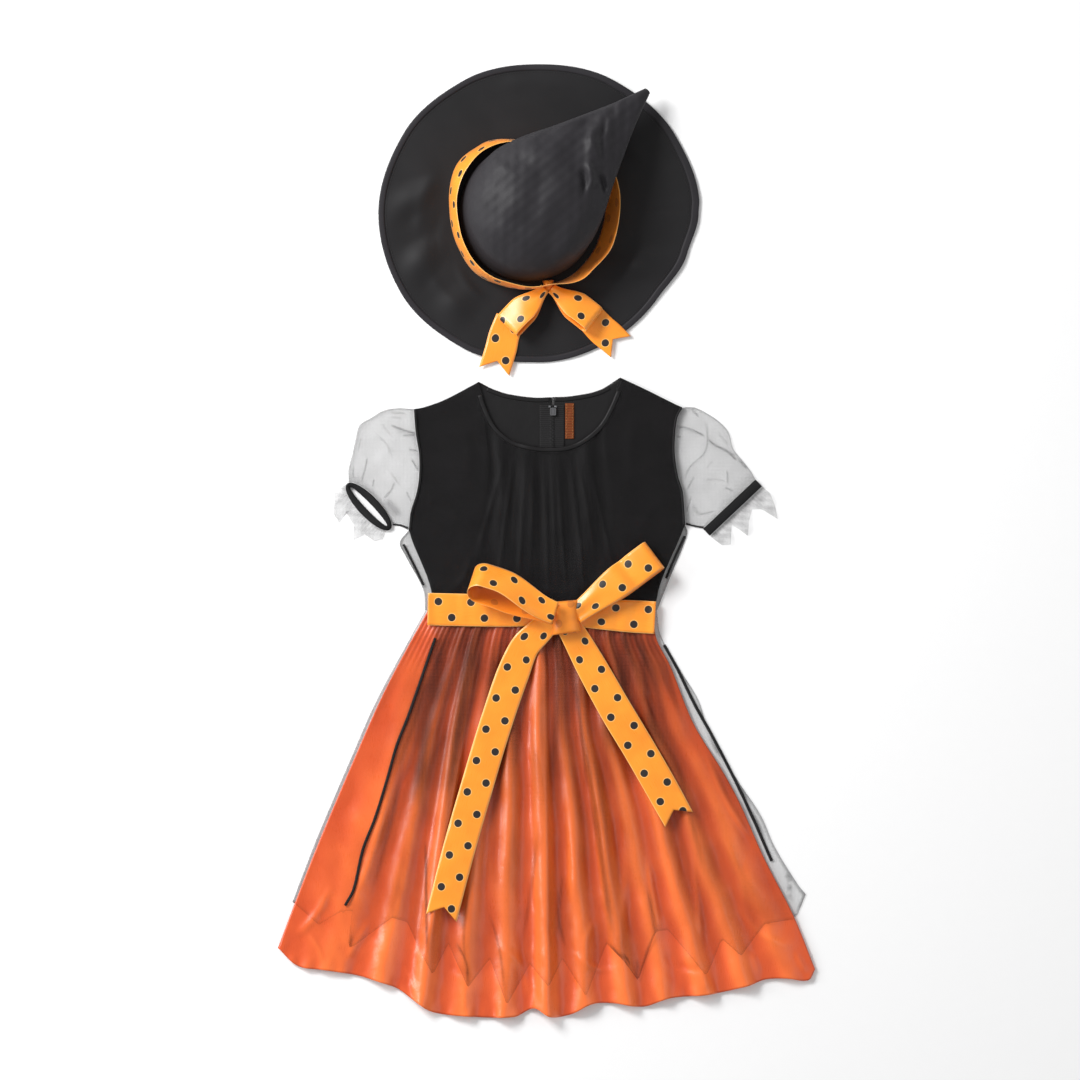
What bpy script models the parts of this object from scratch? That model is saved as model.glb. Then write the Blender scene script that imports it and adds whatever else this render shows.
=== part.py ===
"""A child's witch costume laid flat: a dress with a net overskirt and ribbon sash, and a pointed hat.

Lengths in the tables are millimetres. X runs to the right, Y towards the hat and Z up from the table.
The dress lies on its back. Its layers, from the table up, are net, satin, satin, net.
"""

import math
from collections import namedtuple

import bmesh
import bpy
from mathutils import Vector
from mathutils.bvhtree import BVHTree

MM = 0.001
CLOTH = 1.0
GAP = 0.3
LAYER = CLOTH + GAP
RIBBON_THICK = 1.0
WAIST_Y = -82.0
SEAM = 0.2
SAMPLING = 0.15

Point = namedtuple("Point", "x y")
Fold = namedtuple("Fold", "at_top at_foot rise")
Bend = namedtuple("Bend", "x y width")
BrimRay = namedtuple("BrimRay", "degrees radius")
BandRay = namedtuple("BandRay", "degrees foot top height")
CrownRing = namedtuple("CrownRing", "along height half_width half_depth pitch")
Finish = namedtuple("Finish", "colour roughness metallic")

# Bodice outline, a row for each change of direction
SHOULDER_LEFT = [Point(-156, 155), Point(-145, 157), Point(-120, 166), Point(-80, 187)]
SHOULDER_RIGHT = [Point(86, 192), Point(118, 177), Point(150, 161), Point(159, 157)]
FRONT_NECK = [
    Point(-80, 187), Point(-72, 159), Point(-60, 135), Point(-43, 120), Point(-24, 113),
    Point(6, 110), Point(31, 114), Point(52, 127), Point(66, 143), Point(80, 172), Point(86, 192),
]
BACK_NECK_LEFT = [Point(-80, 187), Point(-67, 180), Point(-47, 173), Point(-15, 168.5), Point(5.7, 169)]
BACK_NECK_RIGHT = [Point(6.1, 169), Point(27, 170), Point(61, 177), Point(86, 192)]
ARMHOLE_LEFT = [
    Point(-156, 155), Point(-154, 128), Point(-150, 102), Point(-150, 75),
    Point(-153, 56), Point(-160, 33), Point(-162, 13),
]
ARMHOLE_RIGHT = [
    Point(159, 157), Point(153, 145), Point(150, 123), Point(150, 100),
    Point(154, 75), Point(159, 59), Point(161, 38), Point(162, 19),
]
SIDE_LEFT = [Point(-162, 13), Point(-159, 2), Point(-136, -58), Point(-140, WAIST_Y)]
SIDE_RIGHT = [Point(162, 19), Point(157, 6), Point(134, -48), Point(126, WAIST_Y)]
NET_SIDE_LEFT = [Point(-162, 13), Point(-173, -2), Point(-166, -18), Point(-145, -58), Point(-143, WAIST_Y)]
NET_SIDE_RIGHT = [Point(162, 19), Point(165, 9), Point(143, -47), Point(129, WAIST_Y)]
CENTRE_BACK_X = 5.9

# Skirt outline
SKIRT_LEFT = [
    Point(-140, WAIST_Y), Point(-172, -140), Point(-196, -187), Point(-227, -257),
    Point(-267, -351), Point(-295, -422), Point(-316, -478),
]
SKIRT_RIGHT = [
    Point(126, WAIST_Y), Point(128, -113), Point(145, -147), Point(172, -214), Point(209, -275),
    Point(228, -311), Point(254, -370), Point(290, -441), Point(315, -503),
]
SKIRT_HEM = [
    Point(-316, -478), Point(-293, -499), Point(-262, -504), Point(-224, -510), Point(-197, -518),
    Point(-175, -526), Point(-153, -542), Point(-135, -553), Point(-101, -558), Point(-39, -559),
    Point(-15, -549), Point(4, -559), Point(28, -556), Point(53, -544), Point(78, -543),
    Point(113, -547), Point(145, -537), Point(189, -533), Point(235, -523), Point(257, -515),
    Point(282, -514), Point(307, -516), Point(315, -503),
]

# The net overskirt's handkerchief hem, tips and valleys from left to right
NET_HEM = [
    Point(-300, -424), Point(-268, -452), Point(-239, -435), Point(-229, -478), Point(-182, -444),
    Point(-170, -436), Point(-150, -481), Point(-134, -510), Point(-116, -474), Point(-93, -525),
    Point(-67, -492), Point(-47, -545), Point(-20, -498), Point(2, -524), Point(18, -492),
    Point(46, -535), Point(70, -474), Point(92, -496), Point(107, -517), Point(133, -447),
    Point(187, -511), Point(206, -469), Point(228, -488), Point(256, -451), Point(286, -446),
]
NET_BACK_LEFT = [Point(-143, WAIST_Y), Point(-200, -187), Point(-231, -257), Point(-271, -351), Point(-299, -424)]
NET_BACK_RIGHT = [
    Point(129, WAIST_Y), Point(134, -112), Point(158, -154), Point(178, -187), Point(189, -219), Point(222, -278),
    Point(251, -322), Point(268, -360), Point(295, -404), Point(304, -415),
]
NET_BACK_HEM = [
    Point(-299, -424), Point(-240, -470), Point(-190, -430), Point(-120, -500), Point(-60, -450),
    Point(0, -505), Point(60, -450), Point(120, -500), Point(180, -440), Point(235, -480),
    Point(270, -425), Point(293, -443), Point(304, -415),
]

# Gathers of the skirt: share of the width at waist and hem, and how high the crest stands
SKIRT_FOLDS = [
    Fold(0.12, 0.115, 4.5), Fold(0.19, 0.195, 6.5), Fold(0.245, 0.28, 11.0), Fold(0.34, 0.357, 7.5),
    Fold(0.43, 0.428, 9.0), Fold(0.522, 0.505, 13.5), Fold(0.60, 0.58, 8.5), Fold(0.665, 0.652, 10.5),
    Fold(0.73, 0.72, 7.0), Fold(0.80, 0.79, 9.5), Fold(0.87, 0.864, 7.5), Fold(0.94, 0.94, 4.5),
]
NECK_GATHERS = [
    Fold(0.31, 0.22, 1.6), Fold(0.38, 0.33, 2.2), Fold(0.45, 0.44, 2.8),
    Fold(0.52, 0.53, 2.0), Fold(0.60, 0.64, 2.6), Fold(0.68, 0.77, 1.8),
]
ARMHOLE_SHARE = 0.54
BODICE_ROWS = [0.0, 0.12, 0.26, 0.4, 0.54, 0.68, 0.80, 0.89, 1.0]
SKIRT_ROWS = [0.0, 0.065, 0.11, 0.2, 0.32, 0.45, 0.58, 0.7, 0.82, 0.92, 1.0]
NET_ROWS = SKIRT_ROWS[:-2]
NET_SHORTEST = 0.845

# Sash: centre of the ribbon and its width at each bend
BELT_LEFT = [Bend(-140, -80, 38), Bend(-95, -81, 38), Bend(-45, -82, 37), Bend(-5, -83, 31)]
BELT_RIGHT = [Bend(46, -86, 31), Bend(75, -87, 36), Bend(100, -88.5, 38), Bend(127, -90, 38)]
BELT_BACK = [Bend(-139, -83, 38), Bend(-50, -84, 38), Bend(50, -86, 38), Bend(126, -88, 38)]
TAIL_LEFT = [
    Bend(-18, -116, 33), Bend(-31, -134, 36), Bend(-43, -163, 38), Bend(-54, -196, 38),
    Bend(-68, -240, 38), Bend(-81, -284, 38), Bend(-102, -357, 38), Bend(-124, -442, 37),
]
TAIL_RIGHT = [
    Bend(34, -117, 31), Bend(53, -149, 35), Bend(81, -199, 38), Bend(107.5, -243, 38),
    Bend(134, -289, 38), Bend(155, -327, 37),
]
HAT_TAIL_LEFT = [Bend(-50.5, 241, 36), Bend(-54, 226, 37), Bend(-62, 199, 37)]
HAT_TAIL_RIGHT = [Bend(63.5, 249, 36), Bend(74, 240, 36), Bend(87, 228, 34)]
NOTCH = 13.0

# Sleeves
SLEEVE_TOP_LEFT = [
    Point(-176, 156), Point(-192, 153), Point(-206, 145), Point(-220, 136),
    Point(-225, 118), Point(-229, 100), Point(-233, 85),
]
SLEEVE_TOP_RIGHT = [
    Point(172, 157), Point(184, 152), Point(201, 141), Point(213, 128),
    Point(219, 108), Point(230, 94), Point(240, 81),
]
CUFF_LEFT_CENTRE = Point(-209.5, 40.5)
CUFF_LEFT_TURN = math.radians(-46.3)
CUFF_LEFT_HALF = (37.0, 12.5)
CUFF_SLOT_HALF = (31.0, 3.6)
CUFF_RIGHT_SLEEVE_SIDE = [Point(244.8, 72.4), Point(183.4, 14.4)]
CUFF_RIGHT_FRILL_SIDE = [Point(252.6, 64.2), Point(191.2, 6.2)]
FRILL_LEFT_SPAN = (math.radians(186), math.radians(338))
FRILL_LEFT_OUTER = [
    Point(-249, 56), Point(-251, 33), Point(-244, 21), Point(-236, 34), Point(-227, 19),
    Point(-227, 1), Point(-214, 8), Point(-203, 0), Point(-193, 2),
]
FRILL_RIGHT_INNER = [Point(253.4, 63.6), Point(191.9, 5.6)]
FRILL_RIGHT_OUTER = [
    Point(262, 56), Point(268, 41), Point(271, 26), Point(252, 38), Point(241, 37), Point(237, 22),
    Point(236, 6), Point(226, 14), Point(217, 19), Point(216, -4), Point(206, -5), Point(194, 4),
]
SLEEVE_PUFF = 2.6
SLEEVE_EDGE_HEIGHT = 3.2

# Hat
HAT_CENTRE = Point(-22.3, 385.4)
BRIM_CENTRE = Point(-9.0, 385.0)
BRIM_THICK = 2.0
HEAD_RADIUS = 79.0
CROWN_WALL = 1.6
CROWN_LEAN = math.radians(45.5)
BRIM_RAYS = [
    BrimRay(0, 187), BrimRay(5, 188.5), BrimRay(30, 184), BrimRay(60, 179), BrimRay(90, 175),
    BrimRay(120, 179.5), BrimRay(150, 185), BrimRay(180, 189), BrimRay(210, 187.5), BrimRay(240, 182),
    BrimRay(270, 175), BrimRay(300, 171.5), BrimRay(325, 171), BrimRay(345, 180),
]
BRIM_WAVES = [Fold(168, 178, 4.0), Fold(200, 205, 5.0), Fold(232, 228, 3.0), Fold(330, 338, 3.0)]
CROWN_RINGS = [
    CrownRing(0, 2.3, 81, 81, 0), CrownRing(2, 18, 80.5, 80, 4), CrownRing(8, 36, 79, 72, 14),
    CrownRing(26, 49, 77, 54, 32), CrownRing(58, 54, 66, 34, 55), CrownRing(93, 50, 49, 20, 74),
    CrownRing(128, 43, 33, 13, 88), CrownRing(162, 34, 18, 8, 97), CrownRing(200, 24, 4, 3, 100),
]
HAT_BAND = [
    BandRay(0, 90, 107, 33), BandRay(30, 90, 112, 28), BandRay(60, 90, 114, 24), BandRay(95, 90, 110, 26),
    BandRay(125, 98, 90, 32), BandRay(145, 101, 87, 35), BandRay(180, 92, 83.5, 37), BandRay(205, 91, 83, 37),
    BandRay(225, 94, 85, 37), BandRay(250, 91, 86.5, 37), BandRay(285, 88, 88.5, 37.5), BandRay(315, 89, 102, 35),
    BandRay(340, 88, 107, 33),
]

FINISHES = {
    "black_satin": Finish((0.010, 0.010, 0.011), 0.55, 0.0),
    "black_felt": Finish((0.014, 0.013, 0.014), 0.7, 0.0),
    "black_net": Finish((0.02, 0.02, 0.02), 0.8, 0.0),
    "grey_net": Finish((0.45, 0.44, 0.45), 0.8, 0.0),
    "orange_satin": Finish((0.80, 0.14, 0.03), 0.35, 0.0),
    "ribbon": Finish((0.95, 0.36, 0.03), 0.3, 0.0),
    "zip_metal": Finish((0.25, 0.25, 0.26), 0.35, 0.9),
    "label": Finish((0.25, 0.07, 0.02), 0.7, 0.0),
}


def clear_scene():
    """Remove what the scene holds."""
    for thing in list(bpy.data.objects):
        bpy.data.objects.remove(thing, do_unlink=True)


def finish(name):
    """The Principled material of that name."""
    material = bpy.data.materials.get(name)
    if material is None:
        look = FINISHES[name]
        material = bpy.data.materials.new(name)
        material.use_nodes = True
        shader = material.node_tree.nodes["Principled BSDF"]
        shader.inputs["Base Color"].default_value = (*look.colour, 1.0)
        shader.inputs["Roughness"].default_value = look.roughness
        shader.inputs["Metallic"].default_value = look.metallic
    return material


def ramp(value, low, high):
    """A smooth step from 0 at low to 1 at high."""
    share = min(1.0, max(0.0, (value - low) / (high - low)))
    return share * share * (3.0 - 2.0 * share)


def mix(a, b, share):
    """The value that lies that share of the way from a to b."""
    return a + (b - a) * share


def along(rows, share, smooth=True):
    """Values at a share of the way along rows, measured by the distance in their first two columns."""
    reach = [0.0]
    for before, after in zip(rows, rows[1:]):
        reach.append(reach[-1] + math.hypot(after[0] - before[0], after[1] - before[1]))
    target = share * reach[-1]
    k = 0
    while k < len(rows) - 2 and reach[k + 1] < target:
        k += 1
    span = reach[k + 1] - reach[k]
    t = (target - reach[k]) / span

    def slope(i, axis):
        low = max(0, i - 1)
        high = min(len(rows) - 1, i + 1)
        return (rows[high][axis] - rows[low][axis]) / (reach[high] - reach[low])

    values = []
    for axis in range(len(rows[0])):
        a = rows[k][axis]
        b = rows[k + 1][axis]
        if smooth:
            lift = t * t * (3.0 - 2.0 * t)
            start = t * (1.0 - t) ** 2 * span * slope(k, axis)
            stop = t * t * (t - 1.0) * span * slope(k + 1, axis)
            values.append(mix(a, b, lift) + start + stop)
        else:
            values.append(mix(a, b, t))
    return values


def chain(*pieces):
    """One edge from (share, rows) pieces: each piece fills its share of the edge's length."""
    def point(share):
        left = share
        for part_share, rows in pieces[:-1]:
            if left <= part_share:
                return along(rows, left / part_share)
            left -= part_share
        part_share, rows = pieces[-1]
        return along(rows, min(1.0, left / part_share))
    return point


def edge(rows, smooth=True):
    """One edge from a single table."""
    return lambda share: along(rows, share, smooth)


def cloth_patch(top, bottom, left, right):
    """A flat patch between four edges, as a function of (across, down) that gives x and y."""
    corners = [top(0.0), top(1.0), bottom(0.0), bottom(1.0)]

    def at(u, v):
        place = []
        for axis in range(2):
            ruled = mix(top(u)[axis], bottom(u)[axis], v) + mix(left(v)[axis], right(v)[axis], u)
            flat = mix(
                mix(corners[0][axis], corners[1][axis], u),
                mix(corners[2][axis], corners[3][axis], u),
                v,
            )
            place.append(ruled - flat)
        return place
    return at


def make_object(name, points, faces, material):
    """A closed body from points in millimetres, shaded smooth across its soft bends."""
    mesh = bpy.data.meshes.new(name)
    shape = bmesh.new()
    corners = [shape.verts.new(Vector(point) * MM) for point in points]
    for face in faces:
        shape.faces.new([corners[i] for i in face])
    bmesh.ops.recalc_face_normals(shape, faces=shape.faces)
    shape.to_mesh(mesh)
    shape.free()
    mesh.shade_smooth()
    mesh.set_sharp_from_angle(angle=math.radians(40))
    mesh.materials.append(finish(material))
    thing = bpy.data.objects.new(name, mesh)
    bpy.context.scene.collection.objects.link(thing)
    return thing


def wall(name, outer, inner, material, closed=False):
    """A wall between two grids of points. A closed one joins its last column to its first.

    Each cell is cut the same way on every layer, so that layers with the same points stay parallel.
    """
    rows = len(outer)
    columns = len(outer[0])
    points = [point for row in outer for point in row] + [point for row in inner for point in row]
    shift = rows * columns
    steps = columns if closed else columns - 1
    faces = []
    for i in range(rows - 1):
        for j in range(steps):
            k = (j + 1) % columns
            a, b, c, d = (
                i * columns + j, i * columns + k, (i + 1) * columns + k, (i + 1) * columns + j
            )
            for triangle in ((a, b, c), (a, c, d)):
                faces.append(triangle)
                faces.append([shift + corner for corner in reversed(triangle)])
    for j in range(steps):
        k = (j + 1) % columns
        last = (rows - 1) * columns
        faces.append([j, shift + j, shift + k, k])
        faces.append([last + j, last + k, shift + last + k, shift + last + j])
    if not closed:
        for i in range(rows - 1):
            for j in (0, columns - 1):
                a = i * columns + j
                b = (i + 1) * columns + j
                faces.append([a, b, shift + b, shift + a])
    return make_object(name, points, faces, material)


def sheet(name, grid, material, thick=CLOTH):
    """Cloth whose underside is the grid."""
    upper = [[(x, y, z + thick) for x, y, z in row] for row in grid]
    return wall(name, upper, grid, material)


def fold_columns(folds):
    """Columns of a gathered panel: each fold gives a foot, a flank, a crest and a flank."""
    columns = [Fold(0.0, 0.0, 0.0)]
    for k, fold in enumerate(folds):
        before = folds[k - 1] if k else Fold(0.0, 0.0, 0.0)
        after = folds[k + 1] if k + 1 < len(folds) else Fold(1.0, 1.0, 0.0)
        foot_share = 1.0 if k + 1 == len(folds) else 0.5
        foot = Fold(
            mix(fold.at_top, after.at_top, foot_share), mix(fold.at_foot, after.at_foot, foot_share), 0.0
        )
        start = Fold(mix(before.at_top, fold.at_top, 0.5), mix(before.at_foot, fold.at_foot, 0.5), 0.0)
        if k == 0:
            start = columns[0]
        for side in (start, foot):
            flank = Fold(
                mix(fold.at_top, side.at_top, 0.45), mix(fold.at_foot, side.at_foot, 0.45), fold.rise * 0.6
            )
            columns.append(flank)
            if side is start:
                columns.append(fold)
        columns.append(foot)
    return columns


def panel_points(patch, columns, rows, height):
    """Points of a gathered panel. height(column, v) gives the underside."""
    grid = []
    for v in rows:
        line = []
        for column in columns:
            u = mix(column.at_top, column.at_foot, v)
            x, y = patch(u, v)
            line.append((x, y, height(column, v)))
        grid.append(line)
    return grid


def even_columns(count):
    """Columns of a plain panel."""
    return [Fold(k / count, k / count, 0.0) for k in range(count + 1)]


def belt_lift(v, pressed, free):
    """How far the belt's back run lifts the layers that lie over it."""
    if pressed < free:
        return LAYER * (1.0 - ramp(v, pressed, free))
    return LAYER * ramp(v, free, pressed)


def bodice_lift(v):
    """The belt lifts the bodice's lowest rows."""
    return belt_lift(v, BODICE_ROWS[-2], BODICE_ROWS[-3])


def skirt_lift(v):
    """The belt lifts the skirt's uppermost rows."""
    return belt_lift(v, SKIRT_ROWS[1], SKIRT_ROWS[2])


def shifted(rows, dx, dy=0.0):
    """A table moved sideways."""
    return [Point(row.x + dx, row.y + dy) for row in rows]


def build_bodice():
    """Back halves, their net, the front and its gathered net."""
    waist_left = Point(-140, WAIST_Y + SEAM)
    waist_right = Point(126, WAIST_Y + SEAM)
    side_left = SIDE_LEFT[:-1] + [waist_left]
    side_right = SIDE_RIGHT[:-1] + [waist_right]
    left = chain((ARMHOLE_SHARE, ARMHOLE_LEFT), (1 - ARMHOLE_SHARE, side_left))
    right = chain((ARMHOLE_SHARE, ARMHOLE_RIGHT), (1 - ARMHOLE_SHARE, side_right))
    front_top = chain((0.25, SHOULDER_LEFT), (0.5, FRONT_NECK), (0.25, SHOULDER_RIGHT))
    front = cloth_patch(front_top, edge([waist_left, waist_right]), left, right)

    net_left_side = NET_SIDE_LEFT[:-1] + [Point(NET_SIDE_LEFT[-1].x, WAIST_Y + SEAM)]
    net_right_side = NET_SIDE_RIGHT[:-1] + [Point(NET_SIDE_RIGHT[-1].x, WAIST_Y + SEAM)]
    net_left = chain((ARMHOLE_SHARE, ARMHOLE_LEFT), (1 - ARMHOLE_SHARE, net_left_side))
    net_right = chain((ARMHOLE_SHARE, ARMHOLE_RIGHT), (1 - ARMHOLE_SHARE, net_right_side))
    halves = [
        ("left", SHOULDER_LEFT, BACK_NECK_LEFT, left, net_left, -0.2),
        ("right", SHOULDER_RIGHT, BACK_NECK_RIGHT, right, net_right, 0.2),
    ]
    for side, shoulder, neck, satin_edge, net_edge, offset in halves:
        seam_x = CENTRE_BACK_X + offset
        centre = edge([Point(seam_x, 169), Point(seam_x, WAIST_Y + SEAM)])
        for layer, (kind, outer, material) in enumerate(
            [("overlay_back", net_edge, "black_net"), ("back", satin_edge, "black_satin")]
        ):
            foot = Point(*outer(1.0))
            middle = Point(seam_x, WAIST_Y + SEAM)
            if side == "left":
                top = chain((0.45, shoulder), (0.55, neck))
                patch = cloth_patch(top, edge([foot, middle]), outer, centre)
            else:
                top = chain((0.55, neck), (0.45, shoulder))
                patch = cloth_patch(top, edge([middle, foot]), centre, outer)
            grid = panel_points(
                patch, even_columns(8), BODICE_ROWS, lambda column, v, k=layer: k * LAYER + bodice_lift(v)
            )
            sheet(f"bodice_{kind}_{side}", grid, material)

    def satin_height(column, v):
        u = mix(column.at_top, column.at_foot, v)
        over_zip = ramp(u, 0.3, 0.42) * (1.0 - ramp(u, 0.6, 0.72))
        gather = column.rise * (0.55 + 0.45 * math.cos(math.pi * v)) * ramp(v, -0.3, 0.3)
        return LAYER * (2.0 + over_zip) + bodice_lift(v) + gather

    columns = fold_columns(NECK_GATHERS)
    satin = panel_points(front, columns, BODICE_ROWS, satin_height)
    sheet("bodice_front", satin, "black_satin")
    net = [[(x, y, z + LAYER) for x, y, z in row] for row in satin]
    sheet("bodice_overlay_front", net, "black_net")
    return front, columns, net


def neck_strip(name, lines, rise):
    """A narrow binding on the first band of a panel, made from its points moved up."""
    width = 5.0
    grid = []
    for top, below in lines:
        reach = math.dist(top[:2], below[:2])
        inner = [mix(top[axis], below[axis], width / reach) for axis in range(3)]
        grid.append([(top[0], top[1], top[2] + rise), (inner[0], inner[1], inner[2] + rise)])
    return sheet(name, grid, "black_satin", 0.8)


def build_neck(front_net):
    """Bindings round the front and back neckline."""
    first, second = front_net[0], front_net[1]
    lines = [(a, b) for a, b in zip(first, second) if -78.0 < a[0] < 84.0 and a[1] < 180.0]
    neck_strip("neck_binding_front", lines, LAYER)
    backs = [("left", BACK_NECK_LEFT, 0.14, 0.86), ("right", BACK_NECK_RIGHT, 0.14, 0.78)]
    for side, rows, start, stop in backs:
        lines = []
        for k in range(7):
            x, y = along(rows, mix(start, stop, k / 6))
            lines.append(((x, y - 0.4, LAYER), (x, y - 20.0, LAYER)))
        neck_strip(f"neck_binding_back_{side}", lines, LAYER)


def block(name, x, y, z, size, material):
    """A small block with bevelled edges, centred at x and y and standing on z."""
    width, length, height = size
    shape = bmesh.new()
    bmesh.ops.create_cube(shape, size=1.0)
    for corner in shape.verts:
        corner.co = Vector((
            (x + corner.co.x * width) * MM,
            (y + corner.co.y * length) * MM,
            (z + (corner.co.z + 0.5) * height) * MM,
        ))
    bmesh.ops.bevel(
        shape, geom=shape.edges[:], offset=min(size) * 0.22 * MM, segments=1, affect="EDGES"
    )
    mesh = bpy.data.meshes.new(name)
    shape.to_mesh(mesh)
    shape.free()
    mesh.materials.append(finish(material))
    thing = bpy.data.objects.new(name, mesh)
    bpy.context.scene.collection.objects.link(thing)
    return thing


def build_zip():
    """The inside of the centre-back zip: tape, slider, top stops, and the label strip beside it."""
    tape_half = 14.5
    tape_top = 160.0
    tape_foot = WAIST_Y + 54.0
    lift = 2.0 * LAYER
    grid = [
        [(CENTRE_BACK_X + side * tape_half, mix(tape_top, tape_foot, k / 6), lift) for side in (-1, 0, 1)]
        for k in range(7)
    ]
    sheet("zip_tape", grid, "black_satin", 0.8)
    tape_face = lift + 0.8 + GAP
    block("zip_slider", CENTRE_BACK_X + 1.2, 152.0, tape_face, (7.0, 9.0, 3.0), "zip_metal")
    for side, offset in (("left", -2.6), ("right", 4.6)):
        block(f"zip_stop_{side}", CENTRE_BACK_X + offset, 158.3 - 0.4, tape_face, (2.6, 2.4, 1.6), "zip_metal")
    block("neck_label", CENTRE_BACK_X + 14.5 + 6.2, 141.0, lift, (10.5, 42.0, 0.7), "label")


def build_skirt():
    """Satin back and front with their gathers, and the net overskirt."""
    top = edge([Point(-140, WAIST_Y - SEAM), Point(126, WAIST_Y - SEAM)])
    left_rows = [Point(-140, WAIST_Y - SEAM)] + SKIRT_LEFT[1:]
    right_rows = [Point(126, WAIST_Y - SEAM)] + SKIRT_RIGHT[1:]
    satin = cloth_patch(top, edge(SKIRT_HEM), edge(left_rows), edge(right_rows))

    net_top = edge([Point(-143, WAIST_Y - SEAM), Point(129, WAIST_Y - SEAM)])
    net_left = [Point(-143, WAIST_Y - SEAM)] + NET_BACK_LEFT[1:]
    net_right = [Point(129, WAIST_Y - SEAM)] + NET_BACK_RIGHT[1:]
    net_back = cloth_patch(net_top, edge(NET_BACK_HEM, smooth=False), edge(net_left), edge(net_right))
    flat_rows = [0.0, 0.065, 0.11, 0.3, 0.5, 0.7, 0.85, 1.0]
    grid = panel_points(net_back, even_columns(24), flat_rows, lambda column, v: skirt_lift(v))
    sheet("overskirt_back", grid, "black_net")

    def back_patch(u, v):
        return satin(u, v * 0.99)

    grid = panel_points(back_patch, even_columns(16), flat_rows, lambda column, v: LAYER + skirt_lift(v))
    sheet("skirt_back", grid, "orange_satin")

    def front_height(column, v):
        swell = mix(0.3, 1.0, ramp(v, 0.0, 0.6)) * (1.0 - 0.12 * math.sin(7.0 * v + 20.0 * column.at_top))
        return 2.0 * LAYER + skirt_lift(v) + column.rise * swell

    columns = fold_columns(SKIRT_FOLDS)
    front = panel_points(satin, columns, SKIRT_ROWS, front_height)
    sheet("skirt_front", front, "orange_satin")

    def satin_surface(j, v):
        k = 0
        while k < len(SKIRT_ROWS) - 2 and SKIRT_ROWS[k + 1] < v:
            k += 1
        share = (v - SKIRT_ROWS[k]) / (SKIRT_ROWS[k + 1] - SKIRT_ROWS[k])
        return [mix(a, b, share) for a, b in zip(front[k][j], front[k + 1][j])]

    def net_depth(j):
        v = 0.9
        for _ in range(4):
            x = satin_surface(j, v)[0]
            k = 0
            while k < len(NET_HEM) - 2 and NET_HEM[k + 1].x < x:
                k += 1
            share = min(1.0, max(0.0, (x - NET_HEM[k].x) / (NET_HEM[k + 1].x - NET_HEM[k].x)))
            target = mix(NET_HEM[k].y, NET_HEM[k + 1].y, share)
            hem_y = front[-1][j][1]
            v = (WAIST_Y - target) / (WAIST_Y - hem_y)
            v = min(0.985, max(NET_SHORTEST, v))
        return v

    curl = 0.35
    net = []
    for v in NET_ROWS:
        net.append([
            (x, y, z + LAYER) for x, y, z in (satin_surface(j, v) for j in range(len(columns)))
        ])
    last_row = []
    crossed = SKIRT_ROWS[-2]
    for j in range(len(columns)):
        depth = net_depth(j)
        x, y, z = satin_surface(j, depth)
        z += LAYER + curl
        if depth > crossed:
            share = (crossed - NET_ROWS[-1]) / (depth - NET_ROWS[-1])
            above = net[-1][j][2]
            z = max(z, above + (front[-2][j][2] + LAYER + curl - above) / share)
        last_row.append((x, y, z))
    net.append(last_row)
    sheet("overskirt_front", net, "black_net")


class Ground:
    """The upper surface of the pieces made so far."""

    def __init__(self, names):
        self.trees = []
        for name in names:
            mesh = bpy.data.objects[name].data
            points = [corner.co[:] for corner in mesh.vertices]
            faces = [tuple(face.vertices) for face in mesh.polygons]
            self.trees.append(BVHTree.FromPolygons(points, faces))

    def height(self, x, y):
        """Height of the surface at x and y, 0 on the table."""
        best = 0.0
        for tree in self.trees:
            hit = tree.ray_cast(Vector((x * MM, y * MM, 1.0)), Vector((0.0, 0.0, -1.0)))
            if hit[0] is not None:
                best = max(best, hit[0].z / MM)
        return best

    def highest(self, a, b, steps=24):
        """Highest surface on the line from a to b."""
        return max(self.height(mix(a[0], b[0], k / steps), mix(a[1], b[1], k / steps)) for k in range(steps + 1))


def ribbon_sections(bends, count):
    """Left edge, middle and right edge of a ribbon at even steps."""
    sections = []
    for k in range(count + 1):
        share = k / count
        x, y, width = along(bends, share)
        ahead = along(bends, min(1.0, share + 0.01))
        behind = along(bends, max(0.0, share - 0.01))
        run = Vector((ahead[0] - behind[0], ahead[1] - behind[1])).normalized()
        side = Vector((-run.y, run.x)) * width / 2.0
        sections.append(((x + side.x, y + side.y), (x, y), (x - side.x, y - side.y), run))
    return sections


def lay_ribbon(name, bends, ground, count, notch=0.0):
    """A ribbon that lies over the ground, level across its width, with a notched end if asked."""
    sections = ribbon_sections(bends, count)
    bare = [ground.highest(left, right) for left, _, right, _ in sections]
    between = []
    for first, second in zip(sections, sections[1:]):
        peak = 0.0
        for k in range(1, 8):
            a = [mix(first[0][axis], second[0][axis], k / 8) for axis in (0, 1)]
            b = [mix(first[2][axis], second[2][axis], k / 8) for axis in (0, 1)]
            peak = max(peak, ground.highest(a, b))
        between.append(peak)
    grid = []
    for k, (left, middle, right, run) in enumerate(sections):
        z = max([bare[k]] + between[max(0, k - 1):k + 1]) + GAP + SAMPLING
        if notch and k == count:
            middle = (middle[0] - run.x * notch, middle[1] - run.y * notch)
        grid.append([(*left, z), (*middle, z), (*right, z)])
    return sheet(name, grid, "ribbon", RIBBON_THICK)


def loop_path(reach, rise):
    """Run and height along a loop: out along the lower strand, round its end and back above."""
    radius = rise / 2.0
    straight = reach - radius
    strands = 5
    turns = 6
    path = []
    for k in range(strands):
        share = k / strands
        path.append((share * straight, mix(0.28 * rise, 0.0, ramp(share, 0.0, 0.8))))
    for k in range(turns + 1):
        angle = math.pi * (k / turns - 0.5)
        path.append((straight + radius * math.cos(angle), radius + radius * math.sin(angle)))
    for k in range(1, strands + 1):
        share = 1.0 - k / strands
        path.append((share * straight, mix(0.74 * rise, rise, ramp(share, 0.0, 0.8))))
    return path


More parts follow.
